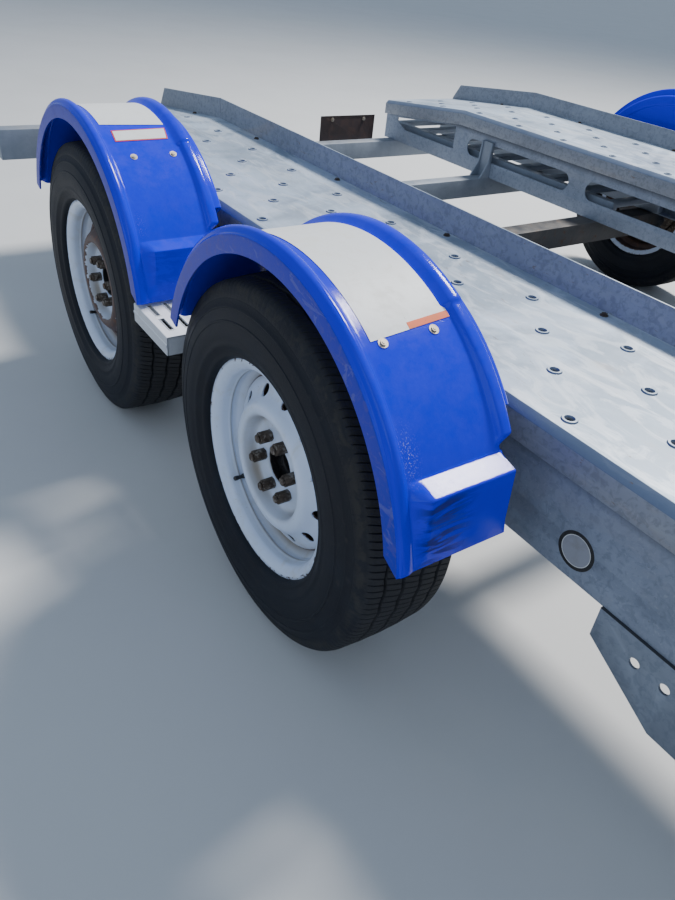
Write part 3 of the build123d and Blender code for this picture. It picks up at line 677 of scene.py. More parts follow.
def grown(name, mesh, tree, finish, **values):
    """Run a tree on a mesh and keep the result as a plain mesh."""
    obj = linked(name, mesh)
    modifier = obj.modifiers.new("repeat", "NODES")
    modifier.node_group = tree
    sockets = {s.name: s.identifier for s in tree.interface.items_tree if s.in_out == "INPUT"}
    modifier[sockets["Material"]] = finish
    for label, value in values.items():
        modifier[sockets[label.replace("_", " ")]] = value
    return baked(obj)


def seeds(name, places):
    """A mesh of loose points; each carries the way that its copy faces."""
    mesh = bpy.data.meshes.new(name)
    mesh.from_pydata([p for p, _ in places], [], [])
    facing = mesh.attributes.new("facing", "FLOAT_VECTOR", "POINT")
    facing.data.foreach_set("vector", np.array([f for _, f in places], np.float32).ravel())
    return mesh


def aligned(tree, points, instance):
    """Instances on the points, their Z turned to each point's facing."""
    facing = add_node(tree, "GeometryNodeInputNamedAttribute", {"Name": "facing"},
                      data_type="FLOAT_VECTOR")
    turn = add_node(tree, "FunctionNodeAlignRotationToVector",
                    {"Vector": facing.outputs["Attribute"]}, axis="Z")
    return add_node(tree, "GeometryNodeInstanceOnPoints", {"Points": points,
                    "Instance": instance, "Rotation": turn.outputs[0]}).outputs[0]


def gathered(tree, *parts):
    join = tree.nodes.new("GeometryNodeJoinGeometry")
    for part in parts:
        tree.links.new(part, join.inputs[0])
    return join.outputs[0]


def geometry_of(tree, target):
    return add_node(tree, "GeometryNodeObjectInfo", {"Object": target}).outputs["Geometry"]


def cut_at(tree, mesh, marks, cutter):
    """The mesh with the cutter taken out of it at every mark."""
    cutters = add_node(tree, "GeometryNodeRealizeInstances",
                       {"Geometry": aligned(tree, marks, cutter)}).outputs[0]
    return add_node(tree, "GeometryNodeMeshBoolean", {"Mesh 1": mesh, "Mesh 2": cutters},
                    operation="DIFFERENCE", solver="EXACT").outputs["Mesh"]


def cylinder(tree, sides, radius, depth):
    return add_node(tree, "GeometryNodeMeshCylinder", {"Vertices": sides, "Radius": radius,
                    "Depth": depth}).outputs["Mesh"]


def stacked(tree, *levels):
    """Cylinders one on another: (sides, radius, height) as sockets or numbers."""
    drums, base = [], None
    for sides, radius, height in levels:
        middle = computed(tree, "MULTIPLY", height, 0.5)
        if base is None:
            base = height
        else:
            middle = computed(tree, "ADD", middle, base)
            base = computed(tree, "ADD", height, base)
        rise = add_node(tree, "ShaderNodeCombineXYZ", {"Z": middle}).outputs[0]
        drums.append(add_node(tree, "GeometryNodeTransform", {"Geometry": cylinder(
            tree, sides, radius, height), "Translation": rise}).outputs[0])
    return gathered(tree, *drums)


def fastener_tree():
    tree, source, sink = repeat_tree("fasteners", [
        ("Sides", "NodeSocketInt", 6), ("Washer Radius", FLOAT, 0.009),
        ("Washer Height", FLOAT, 0.0015), ("Head Radius", FLOAT, 0.006),
        ("Head Height", FLOAT, 0.004), ("Crown Radius", FLOAT, 0.005),
        ("Crown Height", FLOAT, 0.001)])
    out = source.outputs
    head = stacked(tree, (20, out["Washer Radius"], out["Washer Height"]),
                   (out["Sides"], out["Head Radius"], out["Head Height"]),
                   (16, out["Crown Radius"], out["Crown Height"]))
    return close_tree(tree, source, sink, aligned(tree, out["Geometry"], head))


FASTENERS = fastener_tree()


def fasteners(name, places, finish, body="chassis", slot=None, **sizes):
    obj = grown(name, seeds(name, places), FASTENERS, finish, **sizes)
    smooth(obj.data, 30)
    return finished(obj, body, finish)


print("trees", FASTENERS.name)

# %% [markdown]
# ## The runway sheets
# Each runway is one folded sheet, punched with raised-rim drain holes in a staggered
# pattern. Modelling each hole in the mesh is slow work. Here loose points mark the
# pattern, and a tree cuts a cylinder at each point and sets a small rolled rim round it.

# %% The hole pattern
HOLE_PITCH_X, HOLE_PITCH_Y = 0.1185, 0.0965
HOLE_START_X, HOLE_EDGE, BOLT_SHIFT = -0.140, 0.041, 0.018
END_MARGIN, KINK_MARGIN = 0.05, 0.03
TAIL_LENGTH, TAIL_DROP, DECK_TOP = 0.540, 0.062, 0.606
KINK_X = DECK["right"][0].x + TAIL_LENGTH
TAIL_SLOPE = math.atan2(TAIL_DROP, TAIL_LENGTH)
SLIT_HALF, SLIT_REACH, SLIT_HEIGHTS = 0.0015, 0.02, (0.622, 0.7)


def hole_places(y_edge, x_low, x_high, bolts=False):
    """Staggered rows of holes, or the bolts by the upstand at every fourth place."""
    places = []
    for column in range(-12, 24):
        x = HOLE_START_X - column * HOLE_PITCH_X
        inside = x_low + END_MARGIN < x < x_high - END_MARGIN
        if not inside or abs(x - KINK_X) < KINK_MARGIN:
            continue
        drop = max(0.0, KINK_X - x) * math.tan(TAIL_SLOPE)
        lean = math.sin(TAIL_SLOPE) if x < KINK_X else 0.0
        for row in range(5):
            if (row + column) % 2 or (row == 4) != bolts or (bolts and column % 4 != 2):
                continue
            y = y_edge + HOLE_EDGE + row * HOLE_PITCH_Y - (BOLT_SHIFT if bolts else 0)
            places.append(((x, y, DECK_TOP - drop), (-lean, 0, math.sqrt(1 - lean**2))))
    return places


def punched_tree():
    """Cuts a hole at each point of Seeds and sets a rolled rim on the sheet round it."""
    tree, source, sink = repeat_tree("punched_sheet", [
        ("Seeds", "NodeSocketObject", None), ("Hole Radius", FLOAT, 0.0075),
        ("Cut Depth", FLOAT, 0.03), ("Rim Radius", FLOAT, 0.0105), ("Rim Roll", FLOAT, 0.0032)])
    out = source.outputs
    marks = geometry_of(tree, out["Seeds"])
    cut = cut_at(tree, out["Geometry"], marks,
                 cylinder(tree, 20, out["Hole Radius"], out["Cut Depth"]))
    ring = add_node(tree, "GeometryNodeCurvePrimitiveCircle", {"Resolution": 20,
                    "Radius": out["Rim Radius"]}).outputs["Curve"]
    roll = add_node(tree, "GeometryNodeCurvePrimitiveCircle", {"Resolution": 6,
                    "Radius": out["Rim Roll"]}).outputs["Curve"]
    lip = add_node(tree, "GeometryNodeCurveToMesh", {"Curve": ring, "Profile Curve": roll})
    rims = aligned(tree, marks, lip.outputs[0])
    return close_tree(tree, source, sink, gathered(tree, rims, cut))


PUNCHED = punched_tree()
for hand in SIDES:
    low, high = DECK[hand]
    points = linked(f"holes_{hand}", seeds(f"holes_{hand}", hole_places(low.y, low.x, high.x)))
    sheet = softened(f"runway_deck_{hand}")
    slit = sheet.modifiers.new("slit", "BOOLEAN")
    corners = [[(KINK_X + dx * SLIT_HALF, high.y + dy * SLIT_REACH, z)
                for dx, dy in ((-1, -1), (1, -1), (1, 1), (-1, 1))] for z in SLIT_HEIGHTS]
    blade = linked("blade", capped(mesh_of("blade", woven(np.array(corners), around=False))))
    slit.object = blade
    baked(sheet)
    bpy.data.objects.remove(blade)
    sheet = grown(f"runway_sheet_{hand}", sheet.data, PUNCHED, DECK_ZINC, Seeds=points)
    bpy.data.objects.remove(bpy.data.objects[f"runway_deck_{hand}_soft"])
    bpy.data.objects.remove(points)
    smooth(sheet.data, 30)
    finished(sheet, "chassis", DECK_ZINC, [f"runway_deck_{hand}"])
    fasteners(f"deck_bolts_{hand}", hole_places(low.y, low.x, high.x, True), RUSTY_IRON,
              slot="rusty_iron", Washer_Radius=0.0085, Washer_Height=0.0012, Head_Radius=0.0065,
              Head_Height=0.0036, Crown_Radius=0.0045, Crown_Height=0.0006)
    print(sheet.name, "faces", len(sheet.data.polygons))

# %% [markdown]
# ## The serrated steps
# The step is a channel of aluminium plank with closed ends and a small ridge along its
# outer side. Its slots have toothed, raised edges that grip a shoe. One toothed cutter and
# one toothed lip are drawn as rings of points, and a tree sets them at every slot.

# %% Plank, slots and lips
SLOT_LONG, SLOT_WIDE, TEETH, TOOTH = 0.056, 0.0125, 11, 0.0024
SLOT_ROWS, FIRST_ROW, SLOT_PITCH = 7, 0.024, 0.036
PLANK_WALL, OVERLAP, RIDGE = 0.003, 0.001, 0.0016


def along_x(section, ends, side=1):
    """The faces of a bar: a section of (y, z) drawn between places along X."""
    return woven(np.array([[(x, side * y, z) for y, z in section] for x in ends]), around=False)


def slot_ring(grow, z):
    """Corners round one slot, its long edges cut into teeth and moved out by grow."""
    x = np.linspace(-SLOT_LONG / 2, SLOT_LONG / 2, 2 * TEETH + 1)
    x[[0, -1]] += (-grow, grow)
    edge = np.stack([x, SLOT_WIDE / 2 + grow - TOOTH * (np.arange(len(x)) % 2)], -1)[::-1]
    ring = np.concatenate([edge, -edge])
    return np.column_stack([ring, np.full(len(ring), z)])


def serrated_tree():
    """Cuts the cutter out at each seed and sets a lip round each cut."""
    labels = ("Seeds", "Cutter", "Lip")
    tree, source, sink = repeat_tree("serrated_plank", [
        (label, "NodeSocketObject", None) for label in labels])
    marks, cutter, lip = [geometry_of(tree, source.outputs[label]) for label in labels]
    cut = cut_at(tree, source.outputs["Geometry"], marks, cutter)
    return close_tree(tree, source, sink, gathered(tree, aligned(tree, marks, lip), cut))


SERRATED = serrated_tree()
cutter = linked("slot_cutter", capped(mesh_of("slot_cutter", woven(np.stack(
    [slot_ring(0, -0.010), slot_ring(0, 0.005)]), around=False))))
lip = linked("slot_lip", outward(mesh_of("slot_lip", woven(np.stack([slot_ring(*at) for at in (
    (0, -0.002), (0, 0.0016), (0.0011, 0.0012), (0.0016, -0.0005))], 1)))))
for hand, side in SIDES.items():
    low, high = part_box(f"step_plate_{hand}")
    root, edge = sorted((abs(low.y), abs(high.y)))
    top, foot, wall = high.z, low.z, PLANK_WALL
    channel = eased((
        (root, foot, 0), (root, top, 0.0025), (edge, top, 0.0025), (edge, top - 0.0165, 0),
        (edge + RIDGE, top - 0.018, 0), (edge + RIDGE, top - 0.0225, 0), (edge, top - 0.024, 0),
        (edge, foot, 0), (edge - wall, foot, 0), (edge - wall, top - wall, 0),
        (root + wall, top - wall, 0), (root + wall, foot, 0)))
    near, far = root + wall - OVERLAP, edge - wall + OVERLAP
    lid = top - wall + OVERLAP
    end = ((near, foot), (far, foot), (far, lid), (near, lid))
    bars = [capped(mesh_of("bar", along_x(section, ends, side))) for section, ends in (
        (channel, (low.x, high.x)), (end, (low.x, low.x + wall)), (end, (high.x - wall, high.x)))]
    middle = (low.x + high.x) / 2
    places = [((middle + half * SLOT_PITCH, side * (edge - FIRST_ROW - SLOT_PITCH * row), top),
               (0, 0, 1)) for row in range(SLOT_ROWS) for half in (-1, 1)]
    marks = linked("slot_marks", seeds("slot_marks", places))
    step = grown(f"serrated_step_{hand}", bars[0], SERRATED, BARE_ALUMINIUM,
                 Seeds=marks, Cutter=cutter, Lip=lip)
    bpy.data.objects.remove(marks)
    smooth(joined(step.data, *bars[1:]), 30)
    finished(step, "chassis", BARE_ALUMINIUM, [f"step_plate_{hand}"])
for helper in (cutter, lip):
    bpy.data.objects.remove(helper)
print("step faces", len(step.data.polygons))

# %% [markdown]
# ## The mudguards
# A mudguard is vacuum formed: a flat tread between two rounded ribs, a flat band down the
# outside, and a shallow box pressed out of its front foot. It could be a revolved curve
# with a box joined on, but real moulding flows. So the outer skin is one polar grid. Each
# column is a place across the guard and each row an angle round the arch, and the box and
# the ribs are heights added to the tread's radius. Solidify then gives the wall.

# %% Points round an arch and masks on them
def polar(middle, radius, angle, y):
    """Points on upright circles round middle, which is (x, z)."""
    x, z = middle[0] + radius * np.cos(angle), middle[1] + radius * np.sin(angle)
    return np.stack(np.broadcast_arrays(x, y, z), -1)


def rising(value, start, reach):
    """0 up to start and 1 from start + reach on; a negative reach falls instead."""
    return np.clip((value - start) / reach, 0, 1)


def close_to(value, middle, reach):
    """1 at the middle, fading away on both sides."""
    return np.exp(-(((value - middle) / reach) ** 2))


def marked(mesh, **masks):
    """Store a value for each point as attributes, which the materials read."""
    for label, values in masks.items():
        layer = mesh.attributes.new(label, "FLOAT", "POINT")
        layer.data.foreach_set("value", np.asarray(values, np.float32).ravel())
    return mesh


# %% The guard's section and foot
GUARD_RADIUS, GUARD_SHIFT, GUARD_LIFT, GUARD_WALL = 0.385, 0.050, 0.055, 0.004
GUARD_START, GUARD_END = 10.0, 162.0
STEP_ANGLE = 61.5
BAND = 0.028
# how far the box fades in and out across the guard, and the slant of the skirts' ends
BOX_IN, BOX_OUT, SKIRT_SLANT = (0.026, 0.022), (0.2005, -0.004), 3.4
# inward from the outer face, height over the tread, corner radius: above and below the step
OUTER_RIB = ((0, -0.028, 0), (0, 0.0015, 0.003), (0.004, 0.0035, 0.002), (0.0075, 0.0135, 0.008),
             (0.020, 0.0142, 0.008), (0.0275, 0.001, 0.006), (0.033, 0.0, 0.003))
INNER_HIGH = ((0.184, 0.0, 0.004), (0.192, 0.006, 0.006), (0.201, 0.0142, 0.009),
              (0.2185, 0.0135, 0.008), (0.220, 0.002, 0.003), (0.220, -0.012, 0))
INNER_LOW = ((0.191, 0.0, 0.003), (0.195, 0.006, 0.004), (0.200, 0.0105, 0.007),
             (0.2175, 0.0095, 0.007), (0.220, 0.000, 0.003), (0.220, -0.012, 0))
INNER_BOX = ((0.184, 0.0, 0.003), (0.190, 0.0, 0.003), (0.1955, 0.0, 0.003),
             (0.2005, -0.003, 0.003), (0.2020, -0.012, 0.003), (0.2025, -0.026, 0))
TREAD_COLUMNS = [(d, 0.0, 0) for d in (0.036, 0.039, 0.043, 0.048, 0.053, 0.058, 0.0615, 0.065,
                 0.075, 0.09, 0.11, 0.13, 0.15, 0.165, 0.176)]
FOOT = np.array((0.3792, 0.0669))
FOOT_TOP = FOOT + (-0.0067, 0.1104)
FOOT_BACK = FOOT_TOP + (-0.060, 0.0162)


def box_height(angle):
    """How far the pressed box stands over the tread at an angle, in radians."""
    ray = np.stack([np.cos(angle), np.sin(angle)], -1)
    out = np.full(len(angle), -1.0)
    for a, b in ((FOOT, FOOT_TOP), (FOOT_TOP, FOOT_BACK)):
        edge = b - a
        t = (a[0] * edge[1] - a[1] * edge[0]) / (ray[:, 0] * edge[1] - ray[:, 1] * edge[0])
        hit = ray * t[:, None]
        along = ((hit - a) @ edge) / (edge @ edge)
        out = np.where((along >= -1e-6) & (along <= 1), np.maximum(out, t - GUARD_RADIUS), out)
    return np.maximum(out, 0.0)


def arch(axle, hand):
    """The middle of a guard's arch, as (x, z)."""
    wheel = wheels[axle, hand]
    return wheel.x + GUARD_SHIFT, wheel.z + GUARD_LIFT


# %% The guard's skin, and the guard
def guard_skin(middle, side, worn):
    section_high, section_low, section_box = [
        eased([*OUTER_RIB, *TREAD_COLUMNS, *inner]) for inner in (INNER_HIGH, INNER_LOW, INNER_BOX)]
    degrees = np.concatenate([
        np.linspace(GUARD_START, 24.8, 24), (25.1, 25.3, 25.46, 25.62, 25.8),
        np.linspace(26.1, 28.2, 5), (28.5, 28.75, 28.9, 29.05, 29.3), np.linspace(29.7, 33.0, 12),
        np.linspace(34.0, 60.0, 18), np.linspace(60.7, 63.5, 9), np.linspace(65.0, GUARD_END, 64)])

    def eases(high, low):
        t = rising(degrees, high, low - high)[:, None]
        return t * t * (3 - 2 * t)

    below_step, at_box = eases(STEP_ANGLE + 1.2, STEP_ANGLE), eases(32.6, 30.0)
    section = section_high + (section_low - section_high) * below_step[..., None]
    section = section + (section_box - section) * at_box[..., None]
    inward, height = section[..., 0], section[..., 1]
    # the skirts' lower ends are cut back, slanting up
    cut = rising(section_high[:, 1], 0, -BAND) * SKIRT_SLANT
    share = (GUARD_END - degrees[:, None]) / (GUARD_END - GUARD_START)
    angle = np.radians(degrees[:, None] + cut[None] * share)
    soft = np.mean([box_height(angle.ravel() + np.radians(s)) for s in (-0.1, 0.1)], 0)
    box = soft.reshape(angle.shape)
    ramp = rising(inward, *BOX_IN) * rising(inward, *BOX_OUT)
    on_rib = (inward < 0.033) & (height > 0)
    height = np.where(on_rib, height * (1 - 0.75 * eases(38.0, 20.0)), height)
    height = np.where(box * ramp > 0, np.maximum(height, box * ramp), height)
    points = polar(middle, GUARD_RADIUS + height, angle, side * (GUARD_Y - inward))
    band = ((inward < 0.0008) & (height < 0.0012)) * 1.0
    scuff = rising(degrees[:, None], 25.4, -0.8) * rising(inward, 0.028, 0.02)
    scuff = scuff * rising(inward, 0.135, -0.05)
    speck = close_to(degrees[:, None], 34.0, 4.0) * close_to(inward, 0.040, 0.012)
    return points, {"band": band, "scuff": scuff * worn, "speck": speck * worn}


def mudguard(axle, hand):
    worn = 1.0 if (axle, hand) == ("front", "right") else 0.2
    points, masks = guard_skin(arch(axle, hand), SIDES[hand], worn)
    name = f"moulded_guard_{axle}_{hand}"
    mesh = marked(mesh_of(name, woven(points, around=False, across=False)), **masks)
    obj = linked(name, mesh)
    crest = max(mesh.polygons, key=lambda face: face.center.z)
    if crest.normal.z < 0:
        mesh.flip_normals()
    wall = obj.modifiers.new("wall", "SOLIDIFY")
    wall.thickness, wall.offset = GUARD_WALL, -1
    smooth(baked(obj).data, 50)
    return finished(obj, "chassis", BLUE, [f"mudguard_{axle}_{hand}"])


# %% The guard's inner side
# distance from the middle of the trailer, radius in the arch, corner radius
BACK_SECTION = ((1.0757, 0.3725, 0), (1.0540, 0.3725, 0.007), (1.0530, 0.3450, 0.003),
                (1.0560, 0.3400, 0.003))
BACK_FOOT = 0.600


def walled(points, wall):
    """A closed section of constant thickness along a rounded polyline."""
    line = eased(points, 4)
    way = np.gradient(line, axis=0)
    way /= np.hypot(way[:, 0], way[:, 1])[:, None]
    under = line + np.stack([way[:, 1], -way[:, 0]], -1) * wall
    return np.concatenate([line, under[::-1]])


def back_plate(axle, hand):
    """The guard's inner side, by the runway: stepped in, then down to the deck."""
    middle, rows = arch(axle, hand), []
    for angle in np.radians(np.linspace(38.0, 142.0, 70)):
        foot = (BACK_FOOT - middle[1]) / math.sin(angle)
        section = walled((*BACK_SECTION, (1.0560, foot, 0)), 0.0035)
        rows.append(polar(middle, section[:, 1], angle, SIDES[hand] * section[:, 0]))
    name = f"guard_back_{axle}_{hand}"
    mesh = smooth(capped(mesh_of(name, woven(np.array(rows), around=False))), 35)
    return finished(linked(name, mesh), "chassis", BLUE)


for axle in AXLES:
    for hand in SIDES:
        guard = mudguard(axle, hand)
        back_plate(axle, hand)
print("guard faces", len(guard.data.polygons))

# %% [markdown]
# The guards hang on bent bars from the webs, two to a guard. Each bar runs out level under
# the runway's folded edge, then turns up against the guard's inner side, so it is hidden
# from the front by the guard's foot.

# %% Bent bars for the guards
BAR_REACH, BAR_HALF, BAR_WALL, BAR_ROOT = 0.232, 0.020, 0.005, WEB_Y - 0.015
BEND, BAR_TOP = 1.0515, 0.630
bar_low, bar_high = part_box("mudguard_brackets")
bar = eased(((BAR_ROOT, bar_low.z, 0), (BEND, bar_low.z, 0.006), (BEND, BAR_TOP, 0),
             (BEND - BAR_WALL, BAR_TOP, 0), (BEND - BAR_WALL, bar_high.z, 0.002),
             (BAR_ROOT, bar_high.z, 0)))
bars = []
for (axle, hand), centre in wheels.items():
    for way in (-1, 1):
        middle = centre.x + GUARD_SHIFT + way * BAR_REACH
        bars.append(along_x(bar, (middle - BAR_HALF, middle + BAR_HALF), SIDES[hand]))
bars = smooth(capped(mesh_of("guard_bars", *bars)), 30)
# the bars are near-black: painted shade
finished(linked("guard_bars", bars), "chassis", SHADE_BLACK_STEEL, ["mudguard_brackets"])
print("bars", len(bars.polygons))

# %% [markdown]
# ## The tyres
# A trailer tyre has a nearly square shoulder, rings on its sidewall and ribs on its tread,
# parted by zigzag grooves. The grid's columns follow the section and its rows go round.
# The grooves are dips between close columns, and the fine cross cuts are dips between close
# rows. The rows lean, so the cuts lean too, and nothing has to be cut out of the mesh.

# %% The tyre's section and tread
PITCHES = 160
PITCH_ROWS = ((0.0, 0), (0.11, 1), (0.22, 0))
CUT_DEPTH, CUT_LEAN = 0.0026, math.radians(4.5)
ZIGZAG = 0.0017
# radius, distance from the middle, share of the cuts' depth
SIDEWALL = (
    (0.1912, 0.0700), (0.2030, 0.0725), (0.2086, 0.0800), (0.2105, 0.0885), (0.2140, 0.0945),
    (0.2180, 0.0968), (0.2215, 0.0965), (0.2235, 0.0978), (0.2330, 0.1022), (0.2345, 0.1036),
    (0.2400, 0.1046), (0.2415, 0.1040), (0.2500, 0.1062), (0.2600, 0.1069), (0.2700, 0.1067),
    (0.2760, 0.1060), (0.2772, 0.1069), (0.2795, 0.1067), (0.2807, 0.1053), (0.2900, 0.1036),
    (0.3000, 0.1008), (0.3012, 0.1016), (0.3035, 0.1010), (0.3047, 0.0996), (0.3140, 0.0968),
    (0.3170, 0.0955))
SHOULDER = (
    (0.3180, 0.0958, 0.16), (0.3260, 0.0932, 0.16), (0.3330, 0.0908, 0.16), (0.3380, 0.0888, 0.2),
    (0.3420, 0.0860, 0.35), (0.3450, 0.0820, 0.8), (0.3466, 0.0760, 1))
GROOVES, GROOVE_DEPTH, RIB_MIDDLE = ((0.055, 0.0060), (0.0185, 0.0066)), 0.0075, 0.037
# a groove's rounded lip: its drop and width, then how deep its wall starts and how it leans
LIP_DROP, LIP_WIDTH, WALL_TOP, WALL_LEAN = 0.0004, 0.0006, 0.0020, 0.0014
CROWN_CURVE = 0.62


def crown(y):
    return TYRE_RADIUS - CROWN_CURVE * y * y


def tread_half():
    """Columns from the shoulder to the middle; each groove goes down and up again."""
    columns = list(SHOULDER)
    for centre, width in GROOVES:
        for way in (1, -1):
            rim = centre + way * width / 2
            lip = [(crown(rim) - LIP_DROP, rim + way * LIP_WIDTH, 1),
                   (crown(rim) - WALL_TOP, rim, 0.6),
                   (crown(centre) - GROOVE_DEPTH, rim - way * WALL_LEAN, 0)]
            columns += lip[::way]
        if centre == GROOVES[0][0]:
            columns.append((crown(RIB_MIDDLE), RIB_MIDDLE, 1))
    return columns


def tyre_grid(centre, side):
    half = [(r, y, 0) for r, y in SIDEWALL] + tread_half()
    other = [(r, -y, share) for r, y, share in half[::-1]]
    across, out, share = np.array([*half, (TYRE_RADIUS, 0, 1), *other]).T[:, None]
    step, dip = np.array(PITCH_ROWS).T
    row = (np.arange(PITCHES)[:, None] + step).reshape(-1, 1)
    radius = across - np.tile(dip, PITCHES)[:, None] * share * CUT_DEPTH
    turn = row * 2 * np.pi / PITCHES + np.clip(out / 0.085, -1, 1) * CUT_LEAN
    sway = (np.abs(4 * (row / 4 % 1) - 2) - 1) * ZIGZAG * (np.abs(out) < 0.066)
    points = polar((centre.x, centre.z), radius, turn, side * (TRACK_HALF + out + sway))
    masks = {"tread": rising(radius, 0.338, 0.009), "shoulder": close_to(radius, 0.331, 0.010)}
    return points, masks


for (axle, hand), centre in wheels.items():
    points, masks = tyre_grid(centre, SIDES[hand])
    mesh = marked(mesh_of(f"treaded_tyre_{axle}_{hand}", woven(points)), **masks)
    if SIDES[hand] > 0:
        mesh.flip_normals()
    low = min(v.co.z for v in mesh.vertices)
    smooth(mesh, 38)
    finished(linked(mesh.name, mesh), f"wheel_{axle}_{hand}", RUBBER,
             [f"tyre_{axle}_{hand}"])
print("tyre faces", len(mesh.polygons), "lowest", round(low, 4))

# %% [markdown]
# ## The steel wheels
# The rim is rolled from strip and the disc is pressed, so everything on it is a curve: the
# lip, the bead seat, the well, the crown of the disc, and the slope that carries the
# vents. A section with rounded corners is turned round the axle. A tree drills the vents,
# and another sets the six nuts.

# %% Turned pieces
def full_turn(steps):
    return np.arange(steps) * 2 * np.pi / steps


def turned(name, section, centre, side, steps=128):
    """A closed section of (radius, distance outward) turned round the wheel's axle."""
    points = polar((centre.x, centre.z), section[None, :, 0], full_turn(steps)[:, None],
                   side * (TRACK_HALF + section[None, :, 1]))
    return outward(mesh_of(name, woven(points)))


BARREL = ((0.2075, -RIM_HALF + 0.001, 0), (0.2050, -RIM_HALF + 0.001, 0.002),
          (0.1905, -RIM_HALF + 0.0055, 0.006), (0.1905, -0.0485, 0.006), (0.1725, -0.0345, 0.006),
          (0.1725, 0.0225, 0.006), (0.1868, 0.0370, 0.005), (0.1880, 0.0480, 0.003),
          (0.1862, 0.0515, 0.003), (0.1882, 0.0550, 0.003), (0.1905, 0.0710, 0.006),
          (0.1985, 0.0785, 0.004), (0.2045, 0.0815, 0.003), (0.2078, 0.0795, 0))
DISC = ((0.1700, 0.0160, 0), (0.1692, 0.0250, 0.003), (0.1640, 0.0300, 0.004),
        (0.1440, 0.0408, 0.010), (0.1330, 0.0480, 0.010), (0.1190, 0.0655, 0.010),
        (0.1045, 0.0662, 0.005), (0.0965, 0.0440, 0.008), (0.0900, 0.0392, 0.006),
        (0.0480, 0.0388, 0.004), (0.0405, 0.0400, 0))
VENT_CIRCLE, VENTS, VENT_START, VENT_OUT, SHEET = 0.144, 12, 24, 0.045, 0.0038
# the rusty zone of the disc, how the rusting thins out on its crown, and the painted shade
# round a vent
RUST_RADII, RUST_OUT = (0.095, 0.172), (0.005, 0.0720)
CROWN_RADIUS, CROWN_RUST = 0.108, (0.063, 0.007)
VENT_SHADE, PAINT_DEPTH = 0.0135, 0.0016


def drilled_tree():
    tree, source, sink = repeat_tree("drilled_disc", [
        ("Seeds", "NodeSocketObject", None), ("Hole Radius", FLOAT, 0.0112),
        ("Depth", FLOAT, 0.09)])
    out = source.outputs
    drill = cylinder(tree, 24, out["Hole Radius"], out["Depth"])
    cut = cut_at(tree, out["Geometry"], geometry_of(tree, out["Seeds"]), drill)
    return close_tree(tree, source, sink, cut)


DRILLED = drilled_tree()


# %% Vents, rust and grime on a wheel
def around_axle(centre, side, radius, count, outwards, start=0.0):
    """Places on a circle round the axle, facing outward."""
    spots = polar((centre.x, centre.z), radius, math.radians(start) + full_turn(count),
                  side * (TRACK_HALF + outwards))
    return [(spot, (0, side, 0)) for spot in spots.tolist()]


def within(value, low, high):
    return (value > low) & (value < high)


def from_axle(mesh, centre, side):
    """Each point's radius and angle round the axle, and its distance out from the middle."""
    x, y, z = np.array([v.co for v in mesh.vertices]).T
    x, z = x - centre.x, z - centre.z
    return np.hypot(x, z), np.arctan2(z, x), side * y - TRACK_HALF


def wheel(axle, hand):
    side, centre = SIDES[hand], wheels[axle, hand]
    barrel = turned("barrel", walled(BARREL[::-1], 0.004), centre, side)
    marks = linked("vent_marks", seeds("vent_marks", around_axle(
        centre, side, VENT_CIRCLE, VENTS, VENT_OUT, VENT_START)))
    disc = grown("disc", turned("disc", walled(DISC, SHEET), centre, side), DRILLED, WHITE_PAINT,
                 Seeds=marks)
    bevelled(disc, 0.0011, 40)
    bpy.data.objects.remove(marks)
    on_sheet = len(disc.data.vertices)
    mesh = joined(disc.data, barrel)
    radius, angle, out = from_axle(mesh, centre, side)
    on_disc = within(radius, *RUST_RADII) & within(out, *RUST_OUT)
    ragged = np.where(radius < CROWN_RADIUS, rising(out, *CROWN_RUST), 1.0)
    rust = on_disc * ragged * (1.0 if axle == "rear" else 0.0)
    rust = np.maximum(rust, 0.29 * (radius > 0.2035))
    rust = np.maximum(rust, rising(out, 0.020, -0.004) * (radius < 0.19))
    # round each vent the sheet's edge and underside get painted shade, stored with the rusting;
    # the disc's rim edge gets a dark rusty line
    face = np.interp(radius, *np.array(DISC)[::-1, :2].T)
    apart = 360 / VENTS
    past = (np.degrees(angle) - VENT_START + apart / 2) % apart - apart / 2
    vent = np.hypot(radius - VENT_CIRCLE, np.radians(past) * radius) < VENT_SHADE
    hidden = (radius > 0.1683) | (vent & (out < face + SHEET - PAINT_DEPTH))
    rust[:on_sheet] = np.maximum(rust[:on_sheet], hidden[:on_sheet])
    seam = close_to(radius, 0.1735, 0.010) * (0.55 - 0.45 * np.cos(2 * angle))
    dish = close_to(radius, 0.094, 0.008) * (0.7 + 0.3 * np.cos(3 * angle + 1))
    groove = 0.8 * close_to(out, 0.0515, 0.0014) * within(radius, 0.180, 0.1885)
    grime = np.clip((seam + dish) * (radius < 0.186) + groove, 0, 1)
    smooth(marked(mesh, rust=rust, grime=grime), 42)
    disc.name = f"pressed_wheel_{axle}_{hand}"
    return finished(disc, f"wheel_{axle}_{hand}", WHITE_PAINT,
                    [f"rim_{axle}_{hand}"])


for axle, hand in wheels:
    made = wheel(axle, hand)
print("wheel faces", len(made.data.polygons))

# %% [markdown]
# ## Hubs and nuts
# The brake drum hides behind the disc. What shows is the hub's dark recessed bore and six
# tall, rusty nuts with their studs. The drum is turned like the rim. The nuts come from a
# tree that stacks a seat, a hexagon and the stud's end, and their corners are chamfered.

